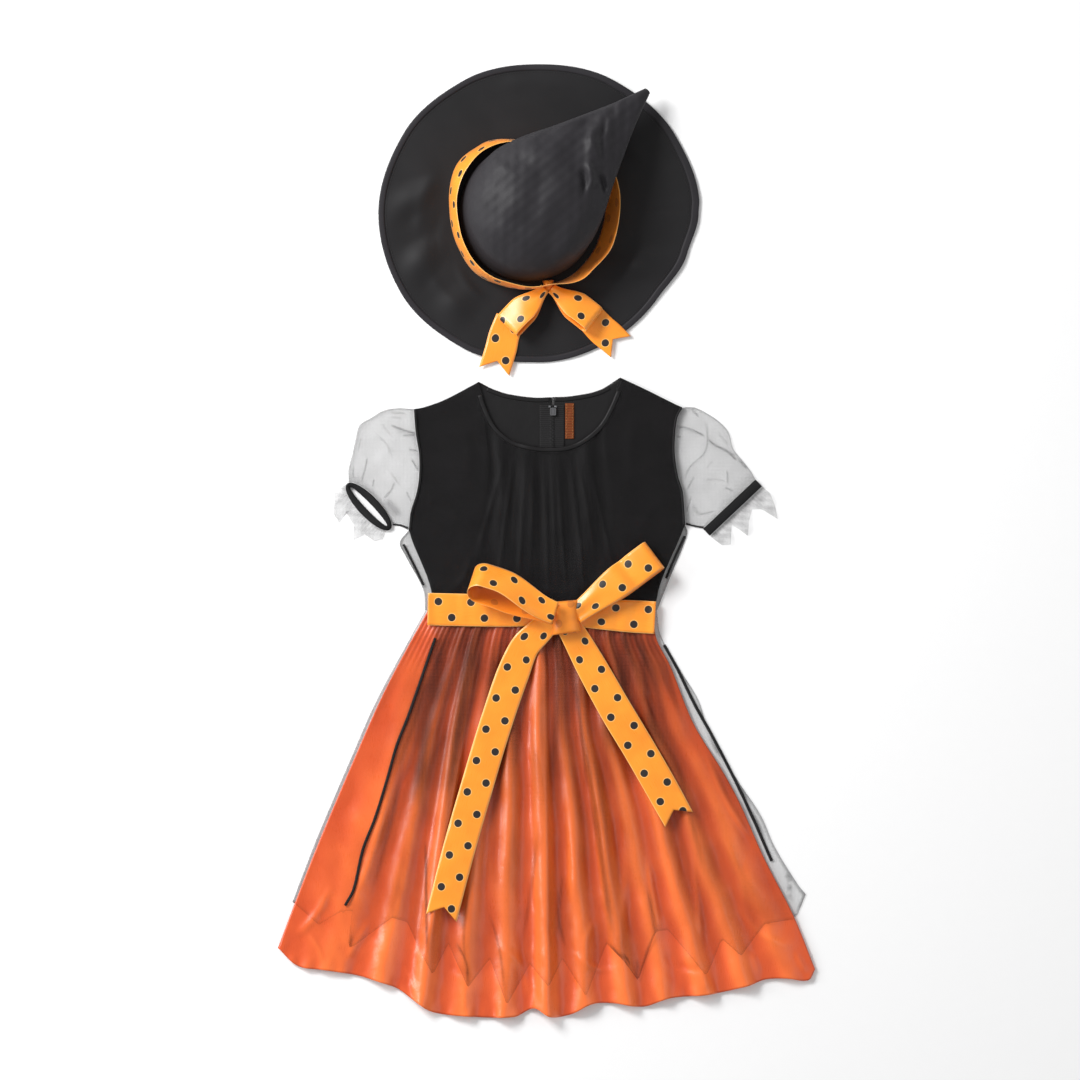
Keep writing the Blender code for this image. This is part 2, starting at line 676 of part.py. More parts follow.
def bow_loop(name, start, stop, widths, rise, lean, ground):
    """A ribbon loop from start out to stop and back, its plane leaning by the given angle."""
    out = Vector((stop[0] - start[0], stop[1] - start[1], 0.0)).normalized()
    side = Vector((-out.y, out.x, 0.0))
    up = Vector((0.0, 0.0, 1.0))
    across = side * math.cos(lean) + up * math.sin(lean)
    over = up * math.cos(lean) - side * math.sin(lean)
    reach = math.dist(start, stop)
    path = loop_path(reach, rise)
    outer = []
    inner = []
    for k, (run, height) in enumerate(path):
        before = path[max(0, k - 1)]
        after = path[min(len(path) - 1, k + 1)]
        along_path = Vector((after[0] - before[0], after[1] - before[1])).normalized()
        inward = out * -along_path.y + over * along_path.x
        width = mix(widths[0], widths[1], ramp(run / reach, 0.0, 0.7))
        centre = Vector((start[0], start[1], 0.0)) + out * run + over * height
        outer.append([tuple(centre + across * width * s) for s in (0.5, 0.0, -0.5)])
        inner.append([tuple(centre + across * width * s + inward * RIBBON_THICK) for s in (0.5, 0.0, -0.5)])
    lift = 0.0
    reach_about = (-6, 0, 6)
    for x, y, z in (point for row in outer + inner for point in row):
        for dx in reach_about:
            for dy in reach_about:
                lift = max(lift, ground.height(x + dx, y + dy) + GAP - z)
    outer = [[(x, y, z + lift) for x, y, z in row] for row in outer]
    inner = [[(x, y, z + lift) for x, y, z in row] for row in inner]
    return wall(name, outer, inner, "ribbon")


def knot(name, outline, ground, height):
    """A domed lump of knotted ribbon over its outline, flat below."""
    centre_x = sum(point.x for point in outline) / len(outline)
    centre_y = sum(point.y for point in outline) / len(outline)
    rings = [(1.0, 0.0), (1.0, 0.45), (0.86, 0.85), (0.5, 1.0)]
    points = []
    faces = []
    count = len(outline) * 3
    loop = outline + outline[:1]
    samples = 60
    spokes = [along(loop, k / samples, smooth=False) for k in range(samples)]
    base = max(ground.highest((centre_x, centre_y), spoke) for spoke in spokes) + GAP
    for scale, lift in rings:
        for k in range(count):
            x, y = along(loop, k / count, smooth=False)
            points.append((mix(centre_x, x, scale), mix(centre_y, y, scale), base + height * lift))
    for i in range(len(rings) - 1):
        for j in range(count):
            k = (j + 1) % count
            faces.append([i * count + j, i * count + k, (i + 1) * count + k, (i + 1) * count + j])
    faces.append(list(range(count)))
    faces.append([(len(rings) - 1) * count + k for k in range(count)])
    return make_object(name, points, faces, "ribbon")


def build_sash():
    """Belt, knot, loops and tails, each over what lies beneath it."""
    dress = Ground(["bodice_overlay_front", "overskirt_front", "skirt_front"])
    lay_ribbon("belt_left", BELT_LEFT, dress, 12)
    lay_ribbon("belt_right", BELT_RIGHT, dress, 8)
    sections = ribbon_sections(BELT_BACK, 6)
    grid = [[(*left, 0.0), (*middle, 0.0), (*right, 0.0)] for left, middle, right, _ in sections]
    sheet("belt_back", grid, "ribbon", RIBBON_THICK)
    outline = [Point(-2, -70), Point(40, -69), Point(44, -98), Point(32, -106), Point(8, -109), Point(-2, -98)]
    knot("sash_knot", outline, dress, 11.0)
    belted = Ground(["bodice_overlay_front", "overskirt_front", "skirt_front", "belt_left", "belt_right"])
    bow_loop("sash_loop_right", (54, -78), (127, -17), (24, 38), 17.0, math.radians(4), belted)
    bow_loop("sash_loop_left", (-9, -77), (-99, -48), (26, 38), 21.0, math.radians(-32), belted)
    lay_ribbon("sash_tail_left", TAIL_LEFT, belted, 22, NOTCH)
    lay_ribbon("sash_tail_right", TAIL_RIGHT, belted, 16, NOTCH)


def flat_tube(name, patch, steps, rings, puff, edge_height, material, wall_thick=0.9):
    """A tube of cloth pressed flat. patch(u, v) runs along the tube by u and across it by v."""
    outer = []
    inner = []
    for i in range(rings + 1):
        u = i / rings
        line = []
        hollow = []
        inset = 0.05
        for j in range(steps + 1):
            v = j / steps
            swell = edge_height + puff * math.sin(math.pi * v) * math.sin(math.pi * (0.12 + 0.76 * u))
            swell += 0.25 * puff * math.sin(math.pi * v) * math.sin(9.0 * v + 4.0 * u)
            line.append((*patch(u, v), swell))
            hollow.append((*patch(u, mix(inset, 1.0 - inset, v)), swell - wall_thick))
        for j in range(steps, -1, -1):
            v = j / steps
            line.append((*patch(u, v), 0.0))
            hollow.append((*patch(u, mix(inset, 1.0 - inset, v)), wall_thick))
        outer.append(line)
        inner.append(hollow)
    return wall(name, outer, inner, material, closed=True)


def oval(centre, half, turn, angle, grow=0.0):
    """Point of the left cuff's oval at an angle, grown outwards."""
    x = (half[0] + grow) * math.cos(angle)
    y = (half[1] + grow) * math.sin(angle)
    return Point(
        centre.x + x * math.cos(turn) - y * math.sin(turn), centre.y + x * math.sin(turn) + y * math.cos(turn)
    )


def frill(name, inner, outer, rise):
    """A jagged net frill between the cuff's edge and its points."""
    count = 24
    grid = []
    for v in (0.0, 0.5, 1.0):
        line = []
        for k in range(count + 1):
            x0, y0 = along(inner, k / count)
            x1, y1 = along(outer, k / count, smooth=False)
            flutter = rise * v * (0.5 + 0.5 * math.sin(k * 1.3))
            line.append((mix(x0, x1, v), mix(y0, y1, v), flutter))
        grid.append(line)
    return sheet(name, grid, "grey_net", 0.9)


def build_sleeves():
    """Puff sleeves with elastic cuffs and frills."""
    away = 0.9
    armhole_rows = [v / ARMHOLE_SHARE for v in BODICE_ROWS if v <= ARMHOLE_SHARE]
    armhole = shifted([Point(*along(ARMHOLE_LEFT, share)) for share in armhole_rows], -away)
    start = math.radians(168)
    stop = math.radians(32)

    def left_cuff_edge(v):
        return oval(CUFF_LEFT_CENTRE, CUFF_LEFT_HALF, CUFF_LEFT_TURN, mix(start, stop, v), 0.5)

    top_rows = [armhole[0]] + SLEEVE_TOP_LEFT + [left_cuff_edge(0.0)]
    under_rows = [armhole[-1], left_cuff_edge(1.0)]
    across = cloth_patch(edge(top_rows), edge(under_rows), edge(armhole, smooth=False), left_cuff_edge)
    flat_tube("sleeve_left", across, 9, 8, SLEEVE_PUFF, SLEEVE_EDGE_HEIGHT, "grey_net")

    armhole = shifted([Point(*along(ARMHOLE_RIGHT, share)) for share in armhole_rows], away)
    cuff = edge(shifted(CUFF_RIGHT_SLEEVE_SIDE, -0.3, 0.3))
    top_rows = [armhole[0]] + SLEEVE_TOP_RIGHT + [Point(*cuff(0.0))]
    under_rows = [armhole[-1], Point(*cuff(1.0))]
    across = cloth_patch(edge(top_rows), edge(under_rows), edge(armhole, smooth=False), cuff)
    flat_tube("sleeve_right", across, 9, 8, SLEEVE_PUFF, SLEEVE_EDGE_HEIGHT, "grey_net")

    count = 40
    upper = []
    lower = []
    for half in (CUFF_LEFT_HALF, CUFF_SLOT_HALF):
        ring = [
            oval(CUFF_LEFT_CENTRE, half, CUFF_LEFT_TURN, 2.0 * math.pi * k / count) for k in range(count)
        ]
        upper.append([(*point, 4.2) for point in ring])
        lower.append([(*point, 0.0) for point in ring])
    wall("cuff_left", upper, lower, "black_satin", closed=True)

    def band(u, v):
        a = along(CUFF_RIGHT_SLEEVE_SIDE, v)
        b = along(CUFF_RIGHT_FRILL_SIDE, v)
        return [mix(a[0], b[0], u), mix(a[1], b[1], u)]

    flat_tube("cuff_right", band, 10, 2, 0.6, 3.2, "black_satin", 1.0)
    inner = [
        oval(CUFF_LEFT_CENTRE, CUFF_LEFT_HALF, CUFF_LEFT_TURN, mix(*FRILL_LEFT_SPAN, k / 12), 0.5)
        for k in range(13)
    ]
    frill("cuff_frill_left", inner, FRILL_LEFT_OUTER, 4.0)
    frill("cuff_frill_right", FRILL_RIGHT_INNER, FRILL_RIGHT_OUTER, 4.0)


def seam_strip(name, bends, ground, count):
    """A raised overlocked seam or narrow binding."""
    sections = ribbon_sections(bends, count)
    grid = []
    for left, _, right, _ in sections:
        z = ground.highest(left, right) + GAP + SAMPLING
        grid.append([(*left, z), (*right, z)])
    lifted = []
    for k, row in enumerate(grid):
        peak = max(grid[i][0][2] for i in range(max(0, k - 1), min(len(grid), k + 2)))
        lifted.append([(x, y, peak) for x, y, _ in row])
    return sheet(name, lifted, "black_net", 1.2)


def build_seams():
    """Overlocked side seams."""
    net = Ground(["overskirt_front", "overskirt_back", "skirt_front"])
    left = [
        Bend(-131, -114, 5), Bend(-135, -125, 5), Bend(-148, -163, 5), Bend(-163, -206, 5), Bend(-176, -239, 5),
        Bend(-188, -281, 5), Bend(-202, -326, 5), Bend(-216, -362, 5), Bend(-227, -409, 5), Bend(-237, -428, 5),
    ]
    seam_strip("overlock_skirt_left", left, net, 20)
    right = [
        Bend(137.5, -122, 5), Bend(153, -150, 5), Bend(174, -193, 5), Bend(193, -227, 5), Bend(221, -281, 5),
        Bend(243, -328, 5), Bend(264, -376, 5),
    ]
    seam_strip("overlock_skirt_right", right, Ground(["overskirt_back"]), 16)
    strips = Ground(["bodice_overlay_back_left", "bodice_overlay_back_right"])
    seam_strip("overlock_bodice_left", [Bend(-168.5, -4, 4), Bend(-155, -31, 4), Bend(-145, -52, 4)], strips, 6)
    seam_strip("overlock_bodice_right", [Bend(161.8, 6, 4), Bend(150, -20, 4), Bend(140, -44, 4)], strips, 6)


def build_hat():
    """Brim with its edge band, hollow crown, loose ribbon band and bow."""
    brim_rows = [Point(ray.degrees, ray.radius) for ray in BRIM_RAYS]
    brim_rows = [Point(brim_rows[-1].x - 360, brim_rows[-1].y)] + brim_rows + [Point(360, brim_rows[0].y),
                                                                             Point(365, brim_rows[1].y)]

    def brim_radius(degrees):
        k = 1
        while k < len(brim_rows) - 3 and brim_rows[k + 1].x <= degrees:
            k += 1
        a, b = brim_rows[k], brim_rows[k + 1]
        return mix(a.y, b.y, ramp(degrees, a.x, b.x))

    def wave(degrees, share):
        lift = 0.0
        for fold in BRIM_WAVES:
            crest = mix(fold.at_top, fold.at_foot, share)
            turn = abs(degrees - crest) / 11.0
            if turn < 1.0:
                lift += fold.rise * 0.5 * (1.0 + math.cos(math.pi * turn)) * math.sin(math.pi * share)
        return lift

    count = 60
    shares = [0.0, 0.1, 0.2, 0.42, 0.64, 0.82, 0.935, 1.0]

    def brim_point(degrees, share):
        angle = math.radians(degrees)
        inner = Point(
            HAT_CENTRE.x + HEAD_RADIUS * math.cos(angle), HAT_CENTRE.y + HEAD_RADIUS * math.sin(angle)
        )
        radius = brim_radius(degrees)
        outer = Point(BRIM_CENTRE.x + radius * math.cos(angle), BRIM_CENTRE.y + radius * math.sin(angle))
        return (
            mix(inner.x, outer.x, share), mix(inner.y, outer.y, share),
            wave(degrees, ramp(share, 0.2, 1.0)) if share > 0.2 else 0.0,
        )

    lower = [[brim_point(360.0 * j / count, share) for j in range(count)] for share in shares]
    upper = [[(x, y, z + BRIM_THICK) for x, y, z in row] for row in lower]
    wall("hat_brim", upper, lower, "black_felt", closed=True)
    band_low = [[(x, y, z + BRIM_THICK + GAP) for x, y, z in row] for row in lower[-2:]]
    band_high = [[(x, y, z + 0.8) for x, y, z in row] for row in band_low]
    wall("hat_brim_band", band_high, band_low, "black_felt", closed=True)
    build_crown()
    build_hat_ribbon()


def crown_loop(ring, shrink, count):
    """One ring of the crown, shrunk by a wall's thickness."""
    lean = Vector((math.cos(CROWN_LEAN), math.sin(CROWN_LEAN), 0.0))
    side = Vector((-lean.y, lean.x, 0.0))
    pitch = math.radians(ring.pitch)
    forward = lean * math.cos(pitch) - Vector((0.0, 0.0, 1.0)) * math.sin(pitch)
    centre = Vector((HAT_CENTRE.x, HAT_CENTRE.y, ring.height)) + lean * ring.along
    points = []
    for k in range(count):
        angle = 2.0 * math.pi * k / count
        fall = forward * (ring.half_depth - shrink) * math.cos(angle)
        points.append(tuple(centre + fall + side * (ring.half_width - shrink) * math.sin(angle)))
    return points


def build_crown():
    """The soft cone: a wall that is open at the head and flops over towards its tip."""
    count = 28
    inner_rings = len(CROWN_RINGS) - 2
    outer = [crown_loop(ring, 0.0, count) for ring in CROWN_RINGS]
    inner = [crown_loop(ring, CROWN_WALL, count) for ring in CROWN_RINGS[:inner_rings]]
    points = [point for row in outer + inner for point in row]
    faces = []
    start_inner = len(outer) * count

    def band(first, rows, flip):
        for i in range(rows - 1):
            for j in range(count):
                k = (j + 1) % count
                quad = [i * count + j, i * count + k, (i + 1) * count + k, (i + 1) * count + j]
                quad = [first + corner for corner in quad]
                faces.append(list(reversed(quad)) if flip else quad)

    band(0, len(outer), False)
    band(start_inner, inner_rings, True)
    for j in range(count):
        k = (j + 1) % count
        faces.append([j, start_inner + j, start_inner + k, k])
    faces.append([(len(outer) - 1) * count + k for k in range(count)])
    faces.append([start_inner + (inner_rings - 1) * count + k for k in range(count)])
    make_object("hat_crown", points, faces, "black_felt")


def build_hat_ribbon():
    """The dotted band that stands loosely round the crown, and its bow on the brim."""
    rays = [HAT_BAND[-1]._replace(degrees=HAT_BAND[-1].degrees - 360)] + HAT_BAND
    rays.append(HAT_BAND[0]._replace(degrees=360))
    count = 40
    thick = RIBBON_THICK
    outer = [[], [], []]
    inner = [[], [], []]
    for j in range(count):
        degrees = 360.0 * j / count
        k = 0
        while k < len(rays) - 2 and rays[k + 1].degrees <= degrees:
            k += 1
        share = ramp(degrees, rays[k].degrees, rays[k + 1].degrees)
        foot, top, height = (mix(a, b, share) for a, b in zip(rays[k][1:], rays[k + 1][1:]))
        angle = math.radians(degrees)
        base = BRIM_THICK + GAP
        for i, (radius, z) in enumerate(((foot, base), (mix(foot, top, 0.5), base + height / 2), (top, base + height))):
            for rows, reach in ((outer, radius), (inner, radius - thick)):
                rows[i].append((HAT_CENTRE.x + reach * math.cos(angle), HAT_CENTRE.y + reach * math.sin(angle), z))
    wall("hat_band", outer, inner, "ribbon", closed=True)

    brim = Ground(["hat_brim", "hat_brim_band"])
    outline = [Point(-6, 299), Point(7, 300), Point(8, 291), Point(1, 287), Point(-6, 290)]
    shift = -5.0
    knot("hat_knot", shifted(outline, 0.0, shift), brim, 12.0)
    bow_loop("hat_loop_left", (-9, 287), (-47, 251), (12, 36), 12.0, math.radians(-6), brim)
    bow_loop("hat_loop_right", (11, 287), (55, 256), (12, 36), 13.0, math.radians(8), brim)
    lay_ribbon("hat_tail_left", HAT_TAIL_LEFT, brim, 8, NOTCH)
    lay_ribbon("hat_tail_right", HAT_TAIL_RIGHT, brim, 6, NOTCH)


def main():
    """Build every piece of the costume."""
    clear_scene()
    _, _, front_net = build_bodice()
    build_neck(front_net)
    build_zip()
    build_skirt()
    build_sash()
    build_sleeves()
    build_seams()
    build_hat()


main()
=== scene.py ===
"""Looks of a child's witch costume laid flat: a dress with a net overskirt and ribbon sash, and a hat.

Lengths in the tables are millimetres; the meshes are written in metres. X runs to the right, Y towards the
hat and Z up from the table. The dress lies on its back, its layers from the table up being net, satin,
satin and net.
"""

import logging
import math
from collections.abc import Callable, Sequence
from dataclasses import dataclass, field, replace
from enum import Enum

import bmesh
import bpy
import numpy as np
from mathutils import Matrix, Vector
from mathutils.bvhtree import BVHTree


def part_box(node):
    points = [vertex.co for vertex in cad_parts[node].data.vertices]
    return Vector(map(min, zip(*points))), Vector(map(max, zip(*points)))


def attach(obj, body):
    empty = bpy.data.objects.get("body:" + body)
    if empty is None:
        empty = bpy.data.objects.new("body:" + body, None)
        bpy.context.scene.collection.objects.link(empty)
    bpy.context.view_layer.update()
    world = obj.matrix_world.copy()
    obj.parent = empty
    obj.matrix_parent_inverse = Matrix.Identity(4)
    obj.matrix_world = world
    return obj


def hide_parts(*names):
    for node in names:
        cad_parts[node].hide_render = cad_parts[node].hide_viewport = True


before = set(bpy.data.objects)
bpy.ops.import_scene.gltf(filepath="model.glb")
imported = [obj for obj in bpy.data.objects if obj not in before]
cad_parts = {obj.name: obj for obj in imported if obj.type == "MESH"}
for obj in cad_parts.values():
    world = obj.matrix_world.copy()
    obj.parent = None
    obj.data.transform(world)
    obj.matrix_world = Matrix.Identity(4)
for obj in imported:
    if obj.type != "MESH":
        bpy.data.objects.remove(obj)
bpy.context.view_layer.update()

log = logging.getLogger("witch_costume")
Array = np.ndarray
Row = tuple[float, ...]

MM = 0.001
LAYER = 1.3
WAIST_Y = -82.0
SEAM = 0.2
RIBBON_WIDTH = 0.038
MID_WALL = 0.5
FULL_CIRCLE = 2.0 * math.pi


class Slot(Enum):
    """Material slots of the record."""

    BODICE_SATIN = "bodice_satin"
    BODICE_NET = "bodice_net"
    SKIRT_SATIN = "skirt_satin"
    OVERSKIRT_NET = "overskirt_net"
    SLEEVE_NET = "sleeve_net"
    CUFF = "cuff_elastic"
    TRIM = "seam_trim"
    ZIP = "zip_metal"
    LABEL = "label_strip"
    RIBBON = "sash_ribbon"
    HAT = "hat_cloth"


class Side(Enum):
    """The wearer's two sides as the photograph shows them, left and right of the picture."""

    LEFT = "left"
    RIGHT = "right"


def ramp(value: Array | float, low: float, high: float) -> Array:
    """A smooth step.

    Args:
        value: Where it is read.
        low: Where it is still 0.
        high: Where it has reached 1.

    Returns:
        The step's height at each value.
    """
    share = np.clip((np.asarray(value, float) - low) / (high - low), 0.0, 1.0)
    return share * share * (3.0 - 2.0 * share)


def mix(first: Array | float, second: Array | float, share: Array | float) -> Array | float:
    """The value that lies that share of the way from the first to the second."""
    return first + (second - first) * share


class Track:
    """A line through given rows, read by the share of its length."""

    def __init__(self, rows: Sequence[Row], smooth: bool = True) -> None:
        """Measure the rows.

        Args:
            rows: The line's points, whose first two columns are its place.
            smooth: True for a curve, False for straight runs.
        """
        self.rows = np.array(rows, float)
        self.smooth = smooth
        steps = np.hypot(*np.diff(self.rows[:, :2], axis=0).T)
        self.reach = np.concatenate([[0.0], np.cumsum(steps)])
        last = len(self.rows) - 1
        low = np.maximum(np.arange(last + 1) - 1, 0)
        high = np.minimum(np.arange(last + 1) + 1, last)
        self.slopes = (self.rows[high] - self.rows[low]) / (self.reach[high] - self.reach[low])[:, None]

    @property
    def length(self) -> float:
        """The line's length in millimetres."""
        return float(self.reach[-1])

    def at(self, share: Array | float) -> Array:
        """Rows at shares of the length.

        Args:
            share: From 0 at the start to 1 at the end.

        Returns:
            An array with the line's columns in its last axis.
        """
        target = np.clip(np.asarray(share, float), 0.0, 1.0) * self.reach[-1]
        k = np.clip(np.searchsorted(self.reach, target, side="left") - 1, 0, len(self.rows) - 2)
        span = (self.reach[k + 1] - self.reach[k])[..., None]
        t = (target - self.reach[k])[..., None] / span
        first, second = self.rows[k], self.rows[k + 1]
        if not self.smooth:
            return first + (second - first) * t
        bend = t * (1.0 - t) ** 2 * span * self.slopes[k] + t * t * (t - 1.0) * span * self.slopes[k + 1]
        return first + (second - first) * t * t * (3.0 - 2.0 * t) + bend


class Chain:
    """One edge made of several tracks, each with its share of the edge."""

    def __init__(self, *pieces: tuple[float, Track]) -> None:
        """Keep the pieces in order."""
        self.pieces = pieces

    def at(self, share: Array | float) -> Array:
        """Places at shares of the edge, two columns."""
        share = np.asarray(share, float)
        found = np.zeros(share.shape + (2,))
        start = 0.0
        for k, (part, track) in enumerate(self.pieces):
            last = k == len(self.pieces) - 1
            here = (share > start if k else share >= 0.0) & ((share <= start + part) | last)
            found[here] = track.at((share[here] - start) / part)[..., :2]
            start += part
        return found


@dataclass
class Patch:
    """A flat piece of cloth between four edges, read across (u) and down (v)."""

    top: Track | Chain
    bottom: Track | Chain
    left: Track | Chain
    right: Track | Chain

    def at(self, u: Array, v: Array) -> Array:
        """Places on the patch.

        Args:
            u: Shares across.
            v: Shares down, of the same shape.

        Returns:
            x and y in the last axis.
        """
        u1, v1 = u[..., None], v[..., None]
        corner = [edge.at(share)[..., :2] for edge in (self.top, self.bottom) for share in (0.0, 1.0)]
        ruled = mix(self.top.at(u)[..., :2], self.bottom.at(u)[..., :2], v1)
        ruled = ruled + mix(self.left.at(v)[..., :2], self.right.at(v)[..., :2], u1)
        return ruled - mix(mix(corner[0], corner[1], u1), mix(corner[2], corner[3], u1), v1)


@dataclass(frozen=True)
class Crease:
    """A soft ridge or trough along a short line on the cloth."""

    line: tuple[Row, ...]
    width: float
    rise: float
    shade: float = 0.0
    fade: float = 0.35

    def near(self, x: Array, y: Array) -> Array:
        """How strongly each place feels the crease.

        Args:
            x: Places in millimetres.
            y: Places in millimetres.

        Returns:
            From 0 far away to 1 on the crease's middle.
        """
        felt = np.zeros(x.shape)
        track = Track(self.line) if len(self.line) > 2 else Track(self.line, smooth=False)
        steps = max(2, int(track.length / 6.0))
        shares = np.linspace(0.0, 1.0, steps + 1)
        points = track.at(shares)
        low = points[:, :2].min(axis=0) - 3.0 * self.width
        high = points[:, :2].max(axis=0) + 3.0 * self.width
        box = (x > low[0]) & (x < high[0]) & (y > low[1]) & (y < high[1])
        if not box.any():
            return felt
        px, py = x[box], y[box]
        best = np.full(px.shape, 1e9)
        place = np.zeros(px.shape)
        for k in range(steps):
            ax, ay = points[k, :2]
            dx, dy = points[k + 1, :2] - points[k, :2]
            t = np.clip(((px - ax) * dx + (py - ay) * dy) / (dx * dx + dy * dy), 0.0, 1.0)
            distance = np.hypot(px - ax - t * dx, py - ay - t * dy)
            closer = distance < best
            best = np.where(closer, distance, best)
            place = np.where(closer, (k + t) / steps, place)
        ends = ramp(np.minimum(place, 1.0 - place), 0.0, self.fade)
        felt[box] = np.exp(-((best / self.width) ** 2)) * ends
        return felt


def creased(x: Array, y: Array, creases: Sequence[Crease]) -> tuple[Array, Array]:
    """Add up creases.

    Args:
        x: Places in millimetres.
        y: Places in millimetres.
        creases: The creases of this piece.

    Returns:
        Their heights, and how much denser they make a sheer cloth.
    """
    height = np.zeros(x.shape)
    shade = np.zeros(x.shape)
    for crease in creases:
        near = crease.near(x, y)
        height += near * crease.rise
        shade = np.maximum(shade, near * crease.shade)
    return height, shade


def ripple(x: Array, y: Array, length: float, seed: int) -> Array:
    """A gentle unevenness made of a few crossed waves.

    Args:
        x: Places in millimetres.
        y: Places in millimetres.
        length: About how far apart the swells lie.
        seed: Which of the fixed patterns it is.

    Returns:
        Heights from about -1 to 1.
    """
    draw = np.random.default_rng(seed)
    total = np.zeros(x.shape)
    waves = 7
    for _ in range(waves):
        angle, phase = draw.uniform(0.0, 2.0 * math.pi, 2)
        pace = 2.0 * math.pi / (length * draw.uniform(0.6, 1.6))
        total += np.sin((x * math.cos(angle) + y * math.sin(angle)) * pace + phase)
    return total / math.sqrt(waves)


@dataclass
class Surface:
    """A cloth's grid of points in millimetres, with the weave's own coordinates in metres."""

    points: Array
    weave: Array
    # On sheer cloth, how much it hides; on the orange satin, painted fold shade and light.
    cover: Array | None = None
    ring: bool = False
    tube: bool = False
    flip: bool = False

    def cells(self) -> list[Array]:
        """Row and column numbers of each cell."""
        rows, columns = self.points.shape[:2]
        across = columns if self.ring else columns - 1
        down = rows if self.tube else rows - 1
        return np.meshgrid(np.arange(down), np.arange(across), indexing="ij")

    def quads(self) -> Array:
        """Corner numbers of each cell, a row of four for each."""
        rows, columns = self.points.shape[:2]
        i, j = self.cells()
        below, beside = (i + 1) % rows, (j + 1) % columns
        corners = [i * columns + j, below * columns + j, below * columns + beside, i * columns + beside]
        if self.flip:
            corners.reverse()
        return np.stack(corners, axis=-1).reshape(-1, 4)

    def mesh(self, name: str) -> bpy.types.Mesh:
        """Write the surface as a mesh.

        Args:
            name: The mesh's name.

        Returns:
            A mesh with smooth shading, a UV map and, on sheer cloth, its cover attribute; on the orange satin
            that attribute holds painted fold shade and light.
        """
        mesh = bpy.data.meshes.new(name)
        faces = self.quads()
        mesh.from_pydata((self.points.reshape(-1, 3) * MM).tolist(), [], faces.tolist())
        i, j = self.cells()
        uv_rows, uv_columns = self.weave.shape[:2]
        below, beside = np.minimum(i + 1, uv_rows - 1), np.minimum(j + 1, uv_columns - 1)
        corners = [(i, j), (below, j), (below, beside), (i, beside)]
        if self.flip:
            corners.reverse()
        weave = np.stack([self.weave[a, b] for a, b in corners], axis=2).reshape(-1, 2)
        layer = mesh.uv_layers.new(name="Weave")
        layer.data.foreach_set("uv", weave.astype(np.float32).ravel())
        if self.cover is not None:
            # The cover attribute: per-wall cover on sheer cloth, painted fold shade and light on the orange
            # satin.
            cover = mesh.attributes.new("cover", "FLOAT", "POINT")
            one_side = 1.0 - np.sqrt(1.0 - np.clip(self.cover, 0.0, 0.97))
            cover.data.foreach_set("value", one_side.astype(np.float32).ravel())
        mesh.shade_smooth()
        return mesh

    def tree(self) -> BVHTree:
        """The surface as a tree for looking up heights, in millimetres."""
        return BVHTree.FromPolygons(self.points.reshape(-1, 3).tolist(), self.quads().tolist())


def grid(columns: int, rows: int) -> tuple[Array, Array]:
    """Even shares across and down.

    Args:
        columns: Cells across.
        rows: Cells down.

    Returns:
        u and v, each of rows + 1 by columns + 1.
    """
    return np.meshgrid(np.linspace(0.0, 1.0, columns + 1), np.linspace(0.0, 1.0, rows + 1))


def laid(place: Array, height: Array, cover: Array | None = None, flip: bool = False) -> Surface:
    """A surface over flat places.

    Args:
        place: x and y of each point.
        height: z of each point.
        cover: How much a sheer cloth hides, from 0 to 1; on the orange satin, painted fold shade and light
            instead.
        flip: True where the grid runs the other way round.

    Returns:
        The surface, its weave straight with X and Y.
    """
    return Surface(np.concatenate([place, height[..., None]], axis=-1), place * MM, cover, flip=flip)


class Ground:
    """What a ribbon lies on: the highest of several surfaces, or the table."""

    def __init__(self, *surfaces: Surface) -> None:
        """Keep a tree of each surface."""
        self.trees = [surface.tree() for surface in surfaces]

    def height(self, x: float, y: float) -> float:
        """Height at a place in millimetres."""
        best = 0.0
        for tree in self.trees:
            hit = tree.ray_cast(Vector((x, y, 1000.0)), Vector((0.0, 0.0, -1.0)))[0]
            if hit is not None:
                best = max(best, hit.z)
        return best

    def heights(self, x: Array, y: Array) -> Array:
        """Heights at many places."""
        flat = [self.height(a, b) for a, b in zip(x.ravel(), y.ravel())]
        return np.array(flat).reshape(x.shape)


class Sock:
    """A shader socket that takes part in Python arithmetic."""

    def __init__(self, shader: "Shader", socket: bpy.types.NodeSocket) -> None:
        """Wrap an output socket of a shader's tree."""
        self.shader = shader
        self.socket = socket

    def _math(self, operation: str, *values: "Sock | float") -> "Sock":
        """One Math node on this and other values."""
        return self.shader.node("ShaderNodeMath", {"operation": operation}, dict(enumerate(values)))

    def __add__(self, other: "Sock | float") -> "Sock":
        """Sum."""
        return self._math("ADD", self, other)

    __radd__ = __add__

    def __mul__(self, other: "Sock | float") -> "Sock":
        """Product."""
        return self._math("MULTIPLY", self, other)

    __rmul__ = __mul__

    def __sub__(self, other: "Sock | float") -> "Sock":
        """Difference."""
        return self._math("SUBTRACT", self, other)

    def __rsub__(self, other: "Sock | float") -> "Sock":
        """Difference from a number."""
        return self._math("SUBTRACT", other, self)

    def __truediv__(self, other: "Sock | float") -> "Sock":
        """Quotient."""
        return self._math("DIVIDE", self, other)

    def __pow__(self, other: "Sock | float") -> "Sock":
        """Power."""
        return self._math("POWER", self, other)

    def wave(self) -> "Sock":
        """Sine."""
        return self._math("SINE", self)

    def size(self) -> "Sock":
        """Absolute value."""
        return self._math("ABSOLUTE", self)

    def lower(self, other: "Sock | float") -> "Sock":
        """The lesser of the two."""
        return self._math("MINIMUM", self, other)

    def higher(self, other: "Sock | float") -> "Sock":
        """The greater of the two."""
        return self._math("MAXIMUM", self, other)

    def wrap(self, pitch: float) -> "Sock":
        """The distance from the nearest multiple of the pitch, with its sign."""
        return self._math("PINGPONG", self, pitch / 2.0)

    def clamp(self) -> "Sock":
        """Held between 0 and 1."""
        return self.shader.node("ShaderNodeClamp", {}, {"Value": self})


